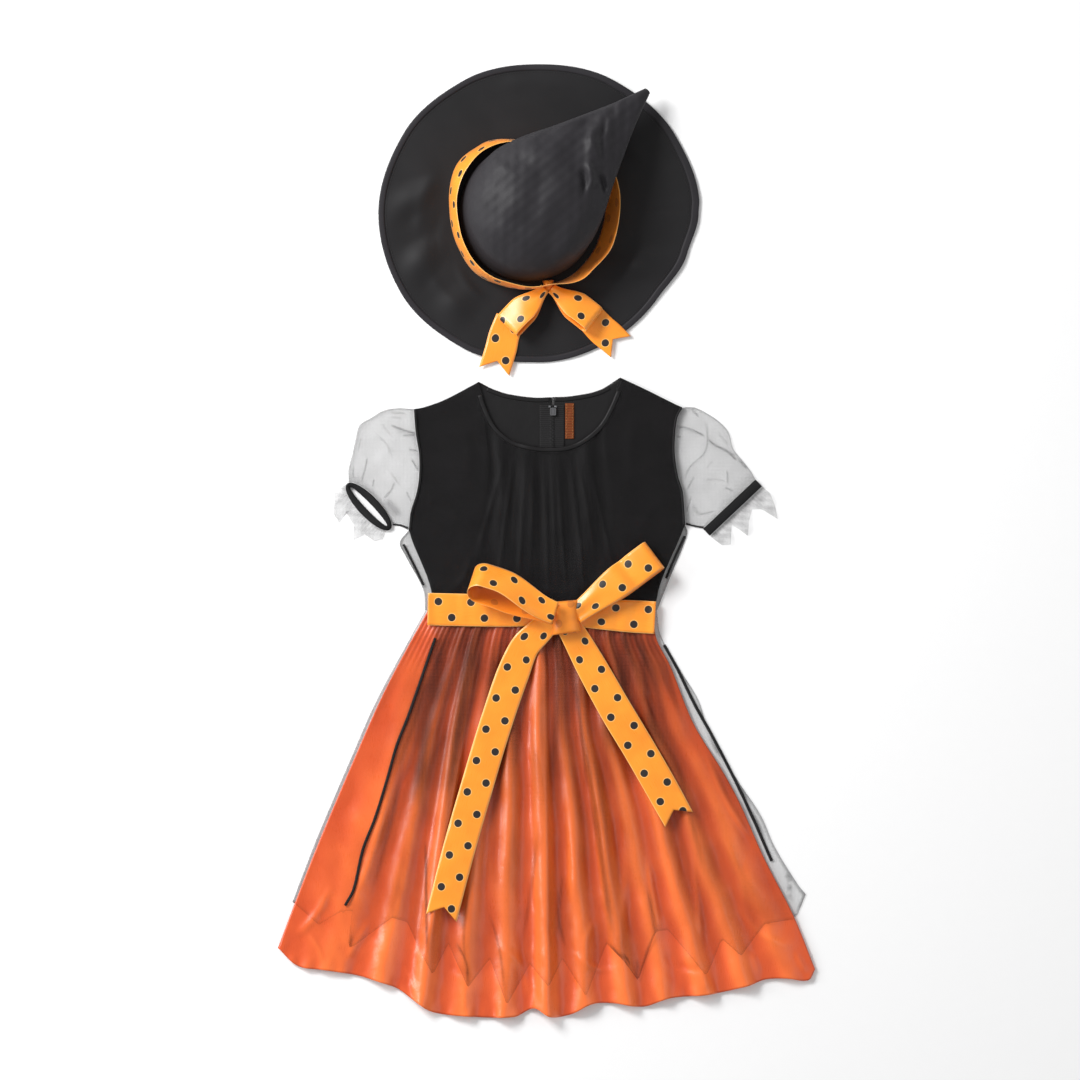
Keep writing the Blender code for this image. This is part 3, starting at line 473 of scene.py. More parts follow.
class Shader:
    """A material in the making, with one method that makes every node."""

    def __init__(self, name: str) -> None:
        """Start a material with its Principled shader."""
        self.material = bpy.data.materials.new(name)
        self.material.use_nodes = True
        self.tree = self.material.node_tree
        self.surface = self.tree.nodes["Principled BSDF"]

    def node(
        self, kind: str, settings: dict[str, object], values: dict[str | int, object], output: str | int = 0
    ) -> Sock:
        """Make a node.

        Args:
            kind: The node's type.
            settings: Its properties, set first.
            values: A value, or a socket to link, for each input.
            output: Which output is wanted.

        Returns:
            That output.
        """
        made = self.tree.nodes.new(kind)
        for name, value in settings.items():
            setattr(made, name, value)
        for name, value in values.items():
            self.plug(made.inputs[name], value)
        return Sock(self, made.outputs[output])

    def plug(self, target: bpy.types.NodeSocket, value: object) -> None:
        """Link a socket, or set a plain value."""
        if isinstance(value, Sock):
            self.tree.links.new(value.socket, target)
        else:
            target.default_value = value

    def dress(self, values: dict[str, object]) -> bpy.types.Material:
        """Set the Principled shader's inputs and return the material."""
        for name, value in values.items():
            self.plug(self.surface.inputs[name], value)
        return self.material

    def blend(self, share: Sock | float, first: object, second: object) -> Sock:
        """A colour between two."""
        return self.node(
            "ShaderNodeMix", {"data_type": "RGBA", "clamp_factor": True}, {0: share, 6: first, 7: second}, 2
        )

    def place(self) -> Sock:
        """Object coordinates, in metres."""
        return self.node("ShaderNodeTexCoord", {}, {}, "Object")

    def weave(self) -> Sock:
        """The cloth's own coordinates, in metres."""
        return self.node("ShaderNodeUVMap", {"uv_map": "Weave"}, {})

    def stretch(self, at: Sock, factors: tuple[float, float, float]) -> Sock:
        """Coordinates times a factor on each axis."""
        return self.node("ShaderNodeVectorMath", {"operation": "MULTIPLY"}, {0: at, 1: factors})

    def part(self, at: Sock, axis: str) -> Sock:
        """One axis of a vector."""
        return self.node("ShaderNodeSeparateXYZ", {}, {"Vector": at}, axis)

    def noise(self, at: Sock, scale: float, detail: float = 2.0) -> Sock:
        """Soft noise from 0 to 1."""
        return self.node("ShaderNodeTexNoise", {}, {"Vector": at, "Scale": scale, "Detail": detail})

    def relief(self, height: Sock) -> Sock:
        """A normal from heights in metres."""
        return self.node("ShaderNodeBump", {}, {"Strength": 1.0, "Distance": 1.0, "Height": height})


Colour = tuple[float, float, float, float]


@dataclass(frozen=True)
class Satin:
    """Woven satin: fine lengthwise threads, a soft crumple, a broad sheen and, where folds is set, painted
    fold shade and light.
    """

    name: str
    light: Colour
    deep: Colour
    roughness: float = 0.36
    sheen: float = 0.25
    crumple: float = 0.00045
    shine: float = 0.6
    # folds: True paints shade into the fold troughs and light onto the crests, read from the cover attribute.
    folds: bool = False

    def make(self) -> bpy.types.Material:
        """Build the material."""
        shader = Shader(self.name)
        place, weave = shader.place(), shader.weave()
        thread = shader.noise(shader.stretch(weave, (2600.0, 110.0, 1.0)), 1.0, 1.0)
        broad = shader.noise(place, 17.0, 2.0)
        small = shader.noise(place, 75.0, 3.0)
        tone = broad * 0.7 + thread * 0.3
        # Painted fold shading: the cover attribute darkens the troughs and lightens the crests.
        if self.folds:
            painted_fold_shading = shader.node("ShaderNodeAttribute", {"attribute_name": "cover"}, {}, "Fac")
            tone = painted_fold_shading * 1.25 + (tone - 0.5) * 0.5
        return shader.dress({
            "Base Color": shader.blend(tone.clamp(), self.deep, self.light),
            "Roughness": (self.roughness + (thread - 0.5) * 0.14 + (small - 0.5) * 0.08).clamp(),
            "Sheen Weight": self.sheen,
            "Sheen Roughness": 0.4,
            "Specular IOR Level": self.shine,
            "Normal": shader.relief(small * self.crumple + thread * 0.00003),
        })


@dataclass(frozen=True)
class Net:
    """Sheer net: a fine mesh of threads whose cover follows the cloth's gathers."""

    name: str
    thread: Colour
    pale: Colour
    mesh_size: float = 0.0016
    roughness: float = 0.6
    sheen: float = 0.15

    def make(self) -> bpy.types.Material:
        """Build the material."""
        shader = Shader(self.name)
        place, weave = shader.place(), shader.weave()
        cover = shader.node("ShaderNodeAttribute", {"attribute_name": "cover"}, {}, "Fac")
        distance = shader.node(
            "ShaderNodeTexVoronoi",
            {"feature": "DISTANCE_TO_EDGE", "voronoi_dimensions": "2D"},
            {"Vector": weave, "Scale": 1.0 / self.mesh_size, "Randomness": 0.35},
        )
        threads = (1.0 - distance / 0.22).clamp()
        cloud = shader.noise(place, 38.0, 3.0)
        alpha = cover * (0.62 + 1.0 * threads) * (0.75 + cloud * 0.5)
        return shader.dress({
            "Base Color": shader.blend(cloud, self.thread, self.pale),
            "Roughness": (self.roughness + (cloud - 0.5) * 0.2).clamp(),
            "Sheen Weight": self.sheen,
            "Specular IOR Level": 0.15,
            "Alpha": alpha.clamp(),
            "Normal": shader.relief(threads * 0.00005 + cloud * 0.0002),
        })


@dataclass(frozen=True)
class DottedRibbon:
    """Satin ribbon with two rows of printed dots, each with a thin pale halo."""

    name: str
    bright: Colour
    base: Colour
    dot: Colour
    halo: Colour
    dot_strength: float = 1.0
    roughness: float = 0.3
    width: float = RIBBON_WIDTH
    dot_radius: float = 0.0047
    pitch: float = 0.0383
    row_place: float = 0.0092
    row_shift: float = 0.42

    def make(self) -> bpy.types.Material:
        """Build the material."""
        shader = Shader(self.name)
        place, weave = shader.place(), shader.weave()
        across, along = shader.part(weave, "X"), shader.part(weave, "Y")
        nearest: Sock | None = None
        for row, shift in ((-self.row_place, 0.0), (self.row_place, self.row_shift * self.pitch)):
            sideways = across - row
            lengthways = (along - shift).wrap(self.pitch)
            distance = (sideways * sideways + lengthways * lengthways) ** 0.5
            nearest = distance if nearest is None else nearest.lower(distance)
        soft = 0.00035
        halo_width = 0.0008
        dot = ((self.dot_radius - nearest) / soft).clamp() * self.dot_strength
        halo = ((self.dot_radius + halo_width - nearest) / soft).clamp() * (0.6 * self.dot_strength)
        edge = ((across.size() - (self.width / 2.0 - 0.0009)) / 0.0004).clamp() * 0.55
        thread = shader.noise(shader.stretch(weave, (3200.0, 60.0, 1.0)), 1.0, 1.0)
        cloud = shader.noise(place, 34.0, 2.0)
        cloth = shader.blend((cloud * 0.65 + thread * 0.35).clamp(), self.base, self.bright)
        cloth = shader.blend(halo.higher(edge), cloth, self.halo)
        return shader.dress({
            "Base Color": shader.blend(dot, cloth, self.dot),
            "Roughness": (self.roughness + dot * 0.15 + (thread - 0.5) * 0.16).clamp(),
            "Sheen Weight": 0.1,
            "Specular IOR Level": 0.6,
            "Normal": shader.relief(thread * 0.00004 + cloud * 0.0003 + edge * 0.00012),
        })


@dataclass(frozen=True)
class HatCloth:
    """Plain dark polyester: a fine twill with a dull bloom that varies a little."""

    name: str
    dark: Colour
    bloom: Colour
    roughness: float = 0.55
    sheen: float = 0.03

    def make(self) -> bpy.types.Material:
        """Build the material."""
        shader = Shader(self.name)
        place = shader.place()
        x, y, z = (shader.part(place, axis) for axis in "XYZ")
        twill = ((x + y + z * 0.5) * (2.0 * math.pi / 0.0011)).wave() * 0.5 + 0.5
        fibre = shader.noise(place, 900.0, 2.0)
        cloud = shader.noise(place, 14.0, 3.0)
        tone = (cloud * 0.8 + fibre * 0.15 + twill * 0.05).clamp()
        return shader.dress({
            "Base Color": shader.blend(tone, self.dark, self.bloom),
            "Roughness": (self.roughness + (cloud - 0.5) * 0.2 + (fibre - 0.5) * 0.1).clamp(),
            "Sheen Weight": self.sheen,
            "Sheen Roughness": 0.5,
            "Specular IOR Level": 0.22,
            "Normal": shader.relief(fibre * 0.00003 + cloud * 0.0006),
        })


@dataclass(frozen=True)
class Elastic:
    """Black elastic and overlocked trim: close ribs across the strip."""

    name: str
    dark: Colour
    pale: Colour
    rib: float = 0.0012

    def make(self) -> bpy.types.Material:
        """Build the material."""
        shader = Shader(self.name)
        weave = shader.weave()
        along = shader.part(weave, "Y")
        rib = (along * (2.0 * math.pi / self.rib)).wave() * 0.5 + 0.5
        fuzz = shader.noise(shader.place(), 700.0, 2.0)
        return shader.dress({
            "Base Color": shader.blend((rib * 0.5 + fuzz * 0.5).clamp(), self.dark, self.pale),
            "Roughness": (0.75 + (fuzz - 0.5) * 0.2).clamp(),
            "Sheen Weight": 0.02,
            "Specular IOR Level": 0.2,
            "Normal": shader.relief(rib * 0.00025 + fuzz * 0.0001),
        })


@dataclass(frozen=True)
class Thread:
    """Twisted sewing thread."""

    name: str
    dark: Colour
    pale: Colour

    def make(self) -> bpy.types.Material:
        """Build the material."""
        shader = Shader(self.name)
        twist = shader.noise(shader.place(), 1500.0, 1.0)
        return shader.dress({
            "Base Color": shader.blend(twist, self.dark, self.pale),
            "Roughness": (0.55 + twist * 0.2).clamp(),
            "Sheen Weight": 0.02,
            "Specular IOR Level": 0.3,
            "Normal": shader.relief(twist * 0.00006),
        })


@dataclass(frozen=True)
class Metal:
    """Grey zip metal with worn, slightly scratched faces."""

    name: str
    colour: Colour
    worn: Colour
    roughness: float = 0.32

    def make(self) -> bpy.types.Material:
        """Build the material."""
        shader = Shader(self.name)
        place = shader.place()
        scratch = shader.noise(shader.stretch(place, (900.0, 3500.0, 900.0)), 1.0, 2.0)
        return shader.dress({
            "Base Color": shader.blend(scratch, self.colour, self.worn),
            "Metallic": 0.9,
            "Roughness": (self.roughness + (scratch - 0.5) * 0.25).clamp(),
            "Normal": shader.relief(scratch * 0.00002),
        })


@dataclass(frozen=True)
class Backdrop:
    """The pale sheet of paper under the costume."""

    name: str
    colour: Colour

    def make(self) -> bpy.types.Material:
        """Build the material."""
        shader = Shader(self.name)
        grain = shader.noise(shader.place(), 60.0, 3.0)
        low = tuple(value * 0.985 for value in self.colour[:3]) + (1.0,)
        return shader.dress({
            "Base Color": shader.blend(grain, low, self.colour),
            "Roughness": 0.9,
            "Specular IOR Level": 0.1,
        })


class Finishes:
    """Every material of the costume, made once."""

    def __init__(self) -> None:
        """Build the materials."""
        # The orange satin carries painted shade in its fold troughs and painted light on its crests.
        orange = Satin(
            "orange_satin", (1.0, 0.20, 0.038, 1.0), (0.66, 0.075, 0.014, 1.0), 0.3, 0.06, folds=True
        )
        self.skirt_satin = orange.make()
        self.bodice_satin = Satin(
            "black_satin", (0.012, 0.0115, 0.012, 1.0), (0.006, 0.0055, 0.006, 1.0), 0.42, 0.02, shine=0.25
        ).make()
        self.bodice_net = Net(
            "black_net", (0.008, 0.0075, 0.008, 1.0), (0.016, 0.015, 0.016, 1.0), sheen=0.03
        ).make()
        self.overskirt_net = Net(
            "overskirt_net", (0.022, 0.013, 0.011, 1.0), (0.045, 0.024, 0.02, 1.0), sheen=0.02
        ).make()
        self.sleeve_net = Net("sleeve_net", (0.05, 0.048, 0.05, 1.0), (0.09, 0.085, 0.09, 1.0)).make()
        bright, base = (1.0, 0.40, 0.030, 1.0), (1.0, 0.24, 0.010, 1.0)
        dot, halo = (0.008, 0.004, 0.004, 1.0), (1.0, 0.68, 0.25, 1.0)
        self.ribbon = DottedRibbon("dotted_ribbon", bright, base, dot, halo).make()
        self.ribbon_reverse = DottedRibbon(
            "ribbon_reverse", (1.0, 0.34, 0.02, 1.0), (0.97, 0.23, 0.010, 1.0), (0.5, 0.14, 0.016, 1.0),
            (0.95, 0.25, 0.012, 1.0), dot_strength=0.55, roughness=0.42,
        ).make()
        self.hat_brim = HatCloth(
            "hat_brim_cloth", (0.006, 0.006, 0.0065, 1.0), (0.016, 0.015, 0.0165, 1.0)
        ).make()
        self.hat_crown = HatCloth(
            "hat_crown_cloth", (0.013, 0.012, 0.014, 1.0), (0.028, 0.026, 0.03, 1.0)
        ).make()
        self.elastic = Elastic("cuff_elastic", (0.004, 0.004, 0.004, 1.0), (0.02, 0.02, 0.021, 1.0)).make()
        self.trim = Elastic(
            "overlock_trim", (0.005, 0.005, 0.005, 1.0), (0.022, 0.021, 0.022, 1.0), 0.0024
        ).make()
        self.thread = Thread("black_thread", (0.006, 0.006, 0.006, 1.0), (0.03, 0.029, 0.03, 1.0)).make()
        self.pale_thread = Thread("tan_thread", (0.25, 0.11, 0.03, 1.0), (0.5, 0.24, 0.08, 1.0)).make()
        self.metal = Metal("zip_metal", (0.11, 0.11, 0.12, 1.0), (0.3, 0.3, 0.31, 1.0)).make()
        self.label = Elastic(
            "label_strip", (0.10, 0.022, 0.006, 1.0), (0.22, 0.055, 0.012, 1.0), 0.003
        ).make()
        self.paper = Backdrop("pale_paper", (0.97, 0.97, 0.972, 1.0)).make()


@dataclass
class Workroom:
    """Turns surfaces into dressed pieces of the costume, and keeps the materials."""

    finishes: Finishes = field(default_factory=Finishes)
    made: int = 0

    def piece(
        self,
        name: str,
        mesh: bpy.types.Mesh,
        slot: Slot,
        nodes: Sequence[str],
        materials: Sequence[bpy.types.Material],
        thick: float = 0.0,
        offset: float = 0.0,
    ) -> bpy.types.Object:
        """Show a mesh as a piece of the costume.

        Args:
            name: The piece's name.
            mesh: Its mesh, in place.
            slot: The record's slot; not used.
            nodes: The CAD nodes it stands for.
            materials: The outer material, and the reverse side's if that differs.
            thick: Thickness of a cloth wall, in millimetres.
            offset: Solidify's offset, -1 to grow inwards.

        Returns:
            The object, riding on the body.
        """
        thing = bpy.data.objects.new(name, mesh)
        bpy.context.scene.collection.objects.link(thing)
        for material in materials:
            mesh.materials.append(material)
        if thick:
            wall = thing.modifiers.new("cloth thickness", "SOLIDIFY")
            wall.thickness = thick * MM
            wall.offset = offset
            wall.use_rim = True
            if len(materials) > 1:
                wall.material_offset = 1
        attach(thing, "root")
        if nodes:
            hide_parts(*nodes)
        self.made += 1
        log.info("made %s with %d faces", name, len(mesh.polygons))
        return thing

    def cloth(
        self,
        name: str,
        surface: Surface,
        slot: Slot,
        materials: Sequence[bpy.types.Material],
        flat: tuple[float, float],
        held: str,
        rests_on: Sequence[str] = (),
        area: float | None = None,
        nodes: Sequence[str] | None = None,
        thick: float = 0.5,
        offset: float = 0.0,
    ) -> bpy.types.Object:
        """Show a surface as a sheet of cloth.

        Args:
            name: The piece's name, and its CAD node's unless nodes says otherwise.
            surface: The cloth's surface.
            slot: The record's slot.
            materials: The outer material, and the reverse side's if that differs.
            flat: Width and length of the cut, in metres; not used.
            held: How the sheet is held; not used.
            rests_on: What it lies on; not used.
            area: The cut's area in square metres, where it isn't a rectangle; not used.
            nodes: The CAD nodes it stands for.
            thick: The cloth's thickness in millimetres.
            offset: Solidify's offset.

        Returns:
            The object.
        """
        nodes = [name] if nodes is None else nodes
        thing = self.piece(name, surface.mesh(name), slot, nodes, materials, thick, offset)
        return thing


def select_none() -> None:
    """Deselect every object."""
    if bpy.context.object is not None and bpy.context.object.mode != "OBJECT":
        bpy.ops.object.mode_set(mode="OBJECT")
    bpy.ops.object.select_all(action="DESELECT")


def take_mesh(thing: bpy.types.Object) -> bpy.types.Mesh:
    """A modelled primitive's mesh, without its object."""
    mesh = thing.data.copy()
    bpy.data.objects.remove(thing, do_unlink=True)
    return mesh


def thread_stitch(length: float, radius: float) -> bpy.types.Mesh:
    """One stitch of thread, lying along X and slightly arched.

    Args:
        length: Millimetres from end to end.
        radius: The thread's radius in millimetres.

    Returns:
        A mesh of a few dozen faces, centred on the origin.
    """
    select_none()
    bpy.ops.mesh.primitive_cylinder_add(
        vertices=6, radius=radius * MM, depth=length * MM, end_fill_type="NGON", rotation=(0, math.pi / 2, 0)
    )
    thing = bpy.context.object
    bpy.ops.object.transform_apply(location=True, rotation=True, scale=True)
    bpy.ops.object.mode_set(mode="EDIT")
    bpy.ops.mesh.select_all(action="DESELECT")
    bpy.ops.object.mode_set(mode="OBJECT")
    for face in thing.data.polygons:
        face.select = abs(face.normal.x) > 0.9
    bpy.ops.object.mode_set(mode="EDIT")
    bpy.ops.mesh.extrude_region_move()
    bpy.ops.transform.resize(value=(1.12, 0.35, 0.35))
    bpy.ops.transform.translate(value=(0.0, 0.0, -0.9 * radius * MM))
    bpy.ops.object.mode_set(mode="OBJECT")
    bpy.ops.object.shade_smooth()
    return take_mesh(thing)


def zip_tooth(width: float, length: float, height: float) -> bpy.types.Mesh:
    """One coil tooth: a rounded bar with a raised middle.

    Args:
        width: Millimetres along X.
        length: Millimetres along Y.
        height: Millimetres along Z.

    Returns:
        Its mesh, standing on the origin.
    """
    select_none()
    bpy.ops.mesh.primitive_cube_add(size=1.0, location=(0.0, 0.0, 0.5 * height * MM))
    thing = bpy.context.object
    thing.scale = (width * MM, length * MM, height * MM)
    bpy.ops.object.transform_apply(location=True, rotation=True, scale=True)
    bpy.ops.object.mode_set(mode="EDIT")
    bpy.ops.mesh.select_all(action="SELECT")
    bpy.ops.mesh.bevel(offset=0.28 * min(width, length) * MM, segments=2, affect="EDGES")
    bpy.ops.object.mode_set(mode="OBJECT")
    bpy.ops.object.shade_smooth()
    return take_mesh(thing)


def repeated(name: str, master: bpy.types.Mesh, places: Sequence[Matrix]) -> bpy.types.Mesh:
    """Copies of a small mesh joined into one.

    Args:
        name: The new mesh's name.
        master: The mesh to copy.
        places: Where each copy goes.

    Returns:
        The joined mesh.
    """
    shape = bmesh.new()
    for place in places:
        before = len(shape.verts)
        shape.from_mesh(master)
        shape.verts.ensure_lookup_table()
        bmesh.ops.transform(shape, matrix=place, verts=shape.verts[before:])
    mesh = bpy.data.meshes.new(name)
    shape.to_mesh(mesh)
    shape.free()
    mesh.shade_smooth()
    return mesh


def stitches_along(
    line: Track, pitch: float, turn: float, height: Callable[[float, float], float], jitter: float = 0.12
) -> list[Matrix]:
    """Places of stitches along a seam.

    Args:
        line: The seam's line in millimetres.
        pitch: Millimetres between stitches.
        turn: The stitch's angle to the seam, in radians.
        height: Gives z in millimetres at x and y.
        jitter: How uneven the sewing is, in radians.

    Returns:
        A matrix for each stitch, in metres.
    """
    count = max(2, int(line.length / pitch))
    draw = np.random.default_rng(count)
    places = []
    for k in range(count):
        share = (k + 0.5) / count
        x, y = line.at(share)[:2]
        ahead = line.at(min(1.0, share + 0.01))
        behind = line.at(max(0.0, share - 0.01))
        angle = math.atan2(ahead[1] - behind[1], ahead[0] - behind[0]) + turn + draw.uniform(-jitter, jitter)
        place = Matrix.Translation(Vector((x, y, height(x, y))) * MM)
        places.append(place @ Matrix.Rotation(angle, 4, "Z"))
    return places


@dataclass
class Ribbon:
    """A length of ribbon that lies over other cloth."""

    name: str
    bends: Sequence[Row]
    notch: float = 0.0
    gap: float = 0.7
    phase: float = 0.0
    ripple_height: float = 0.5
    flip_rows: bool = False

    def surface(self, ground: Ground) -> Surface:
        """Drape the ribbon over the ground.

        Args:
            ground: What it lies on.

        Returns:
            Its surface, with the weave measured across and along it.
        """
        route = Track(self.bends)
        rows = max(12, int(route.length / 2.6))
        columns = 12
        s, share = grid(columns, rows)
        across = s - 0.5
        reach = route.length - self.notch * (1.0 - np.abs(2.0 * across)) * ramp(share, 0.0, 1.0)
        length = share * reach
        at = route.at(length / route.length)
        ahead = route.at(np.minimum(1.0, length / route.length + 0.01))
        behind = route.at(np.maximum(0.0, length / route.length - 0.01))
        run = ahead[..., :2] - behind[..., :2]
        run /= np.linalg.norm(run, axis=-1, keepdims=True)
        side = np.stack([run[..., 1], -run[..., 0]], axis=-1)
        place = at[..., :2] + side * (across * at[..., 2])[..., None]
        bare = ground.heights(place[..., 0], place[..., 1])
        level = bare.max(axis=1)
        for _ in range(2):
            level = np.maximum(level, np.maximum(np.roll(level, 1), np.roll(level, -1)))
        kernel = np.array([1.0, 2.0, 3.0, 2.0, 1.0]) / 9.0
        padded_level = np.pad(level, 2, mode="edge")
        smooth = np.convolve(padded_level, kernel, mode="valid")
        level = np.maximum(bare.max(axis=1), smooth)
        sag = (1.0 - (2.0 * across) ** 2) * 0.5
        wave = ripple(place[..., 0], place[..., 1], 36.0, len(self.name)) * self.ripple_height
        height = level[:, None] + self.gap + sag * 0.6 + np.maximum(wave, -0.2) * 0.6
        width = at[..., 2].max() * MM
        sign = -1.0 if self.flip_rows else 1.0
        weave = np.stack([across * width * sign, length * MM + self.phase], axis=-1)
        return Surface(np.concatenate([place, height[..., None]], axis=-1), weave, flip=True)

    def make(self, room: Workroom, ground: Ground, held: str, rests_on: Sequence[str]) -> Surface:
        """Build the ribbon and show it."""
        surface = self.surface(ground)
        length = Track(self.bends).length * MM
        room.cloth(
            self.name, surface, Slot.RIBBON, [room.finishes.ribbon, room.finishes.ribbon_reverse],
            (RIBBON_WIDTH, length + 0.004), held, rests_on, thick=0.45,
        )
        return surface


@dataclass
class BowLoop:
    """A loop of a bow: out along its lower strand, round its end and back above."""

    name: str
    start: Row
    stop: Row
    width_at_knot: float
    width: float
    rise: float
    lean_at_knot: float
    lean: float
    phase: float = 0.0
    gather: float = 1.2
    dip: float = 0.0

    def surface(self, ground: Ground) -> Surface:
        """Shape the loop and seat it on the ground.

        Args:
            ground: What it rests on.

        Returns:
            Its surface, outer side out.
        """
        out = np.array([self.stop[0] - self.start[0], self.stop[1] - self.start[1], 0.0])
        reach = float(np.linalg.norm(out))
        out /= reach
        side = np.array([-out[1], out[0], 0.0])
        up = np.array([0.0, 0.0, 1.0])
        radius = self.rise / 2.0
        straight = reach - radius
        strand = np.linspace(0.0, 1.0, 34)[:-1]
        turn = np.linspace(-0.5, 0.5, 22) * math.pi
        run = np.concatenate([strand * straight, straight + radius * np.cos(turn), strand[::-1] * straight])
        low = mix(0.3, 0.0, ramp(strand, 0.0, 0.7)) * self.rise
        high = mix(0.72, 1.0, ramp(strand, 0.0, 0.75)) * self.rise
        lift = np.concatenate([low, radius + radius * np.sin(turn), high[::-1]])
        upper = np.concatenate([np.zeros(33), np.linspace(0.0, 1.0, 22), np.ones(33)])
        steps = np.hypot(np.diff(run), np.diff(lift))
        length = np.concatenate([[0.0], np.cumsum(steps)])
        columns = 14
        s = np.linspace(-0.5, 0.5, columns + 1)
        share = ramp(run / reach, 0.0, 0.75)
        lean = np.radians(mix(self.lean_at_knot, self.lean, share))[:, None, None]
        width = mix(self.width_at_knot, self.width, ramp(run / reach, 0.0, 0.6))
        across = side * np.cos(lean) + up * np.sin(lean)
        over = up * np.cos(lean) - side * np.sin(lean)
        pleat = np.sin(2.0 * math.pi * 1.5 * s)[None, :] * (1.0 - ramp(run / reach, 0.0, 0.5))[:, None]
        dent = np.exp(-(((run / reach - 0.68) / 0.07) ** 2)) * upper * self.dip
        bow = (1.0 - 4.0 * s * s)[None, :] * (upper * 1.4 - (1.0 - upper) * 0.6)[:, None]
        rise = lift[:, None] + pleat * self.gather + bow - dent[:, None]
        centre = np.array([self.start[0], self.start[1], 0.0]) + out * run[:, None]
        points = centre[:, None, :] + over * rise[..., None] + across * (width[:, None] * s)[..., None]
        flat = points.reshape(-1, 3)
        ground_height = ground.heights(points[..., 0], points[..., 1]).ravel()
        points[..., 2] += max(0.0, float((ground_height - flat[:, 2]).max())) + 0.6
        along = length[:, None] * MM + self.phase
        weave = np.stack(np.broadcast_arrays(s[None, :] * RIBBON_WIDTH, along), axis=-1)
        return Surface(points, weave, flip=True)

    def make(self, room: Workroom, ground: Ground, rests_on: Sequence[str]) -> Surface:
        """Build the loop and show it."""
        surface = self.surface(ground)
        reach = math.dist(self.start, self.stop)
        length = (2.0 * reach + 0.6 * self.rise) * MM
        room.cloth(
            self.name, surface, Slot.RIBBON, [room.finishes.ribbon, room.finishes.ribbon_reverse],
            (RIBBON_WIDTH, length), "folded", rests_on, thick=0.45,
        )
        return surface


@dataclass
class Knot:
    """The short strap of ribbon wrapped round a bow's middle, its reverse side out."""

    name: str
    corners: Sequence[Row]
    height: float
    turned_in: float = 0.12

    def make(self, room: Workroom, ground: Ground, rests_on: Sequence[str]) -> None:
        """Build the strap over the ground.

        Args:
            room: Where pieces are dressed.
            ground: What it lies on.
            rests_on: The nodes that carry it.
        """
        corners = np.array(self.corners, float)
        u, v = grid(30, 24)
        u1, v1 = u[..., None], v[..., None]
        place = mix(mix(corners[0], corners[1], u1), mix(corners[3], corners[2], u1), v1)
        waist = 1.0 - self.turned_in * np.sin(math.pi * v)
        middle = mix(mix(corners[0], corners[1], 0.5), mix(corners[3], corners[2], 0.5), v1)
        place = middle + (place - middle) * waist[..., None]
        base = float(ground.heights(place[::4, ::4, 0], place[::4, ::4, 1]).max())
        dome = np.sqrt(np.clip(1.0 - np.abs(2.0 * u - 1.0) ** 3.2, 0.0, 1.0))
        sides = 0.72 + 0.28 * np.sqrt(np.clip(1.0 - np.abs(2.0 * v - 1.0) ** 4.0, 0.0, 1.0))
        fold = 0.7 * np.exp(-(((v - 0.3 - 0.2 * u) / 0.09) ** 2)) - 0.5 * np.exp(-(((v - 0.62) / 0.07) ** 2))
        height = base + 0.4 + self.height * dome * sides + fold * dome
        size = np.linalg.norm(corners[1] - corners[0]), np.linalg.norm(corners[3] - corners[0])
        weave = np.stack([(u - 0.5) * size[0] * MM, v * size[1] * MM + 0.012], axis=-1)
        surface = Surface(np.concatenate([place, height[..., None]], axis=-1), weave)
        room.cloth(
            self.name, surface, Slot.RIBBON, [room.finishes.ribbon_reverse, room.finishes.ribbon],
            ((size[0] + 1.8 * self.height) * MM, size[1] * MM * 1.1), "folded", rests_on, thick=0.45,
        )


def belt_lift_bodice(v: Array) -> Array:
    """How far the belt's back run lifts the bodice's lowest part."""
    return LAYER * ramp(v, 0.80, 0.89)


def belt_lift_skirt(v: Array) -> Array:
    """How far the belt's back run lifts the skirt's top."""
    return LAYER * (1.0 - ramp(v, 0.065, 0.11))


def gathers(u: Array, v: Array, folds: Sequence[Row], sharpness: float) -> Array:
    """Heights of a gathered panel's folds.

    Args:
        u: Shares across.
        v: Shares down.
        folds: For each, its place at the top and the foot, and its height.
        sharpness: Above 1 the crests are narrower than the feet.

    Returns:
        The folds' heights before they swell towards the hem.
    """
    rows = [(0.0, 0.0, 0.0), *folds, (1.0, 1.0, 0.0)]
    crests = [mix(top, foot, v) for top, foot, _ in rows]
    total = np.zeros(u.shape)
    for k in range(1, len(rows) - 1):
        left = crests[0] if k == 1 else (crests[k - 1] + crests[k]) / 2.0
        right = crests[-1] if k == len(rows) - 2 else (crests[k] + crests[k + 1]) / 2.0
        before, after = (crests[k] - u) / (crests[k] - left), (u - crests[k]) / (right - crests[k])
        t = np.where(u < crests[k], before, after)
        bump = (0.5 + 0.5 * np.cos(math.pi * np.clip(t, 0.0, 1.0))) ** sharpness
        total = np.maximum(total, rows[k][2] * bump)
    return total


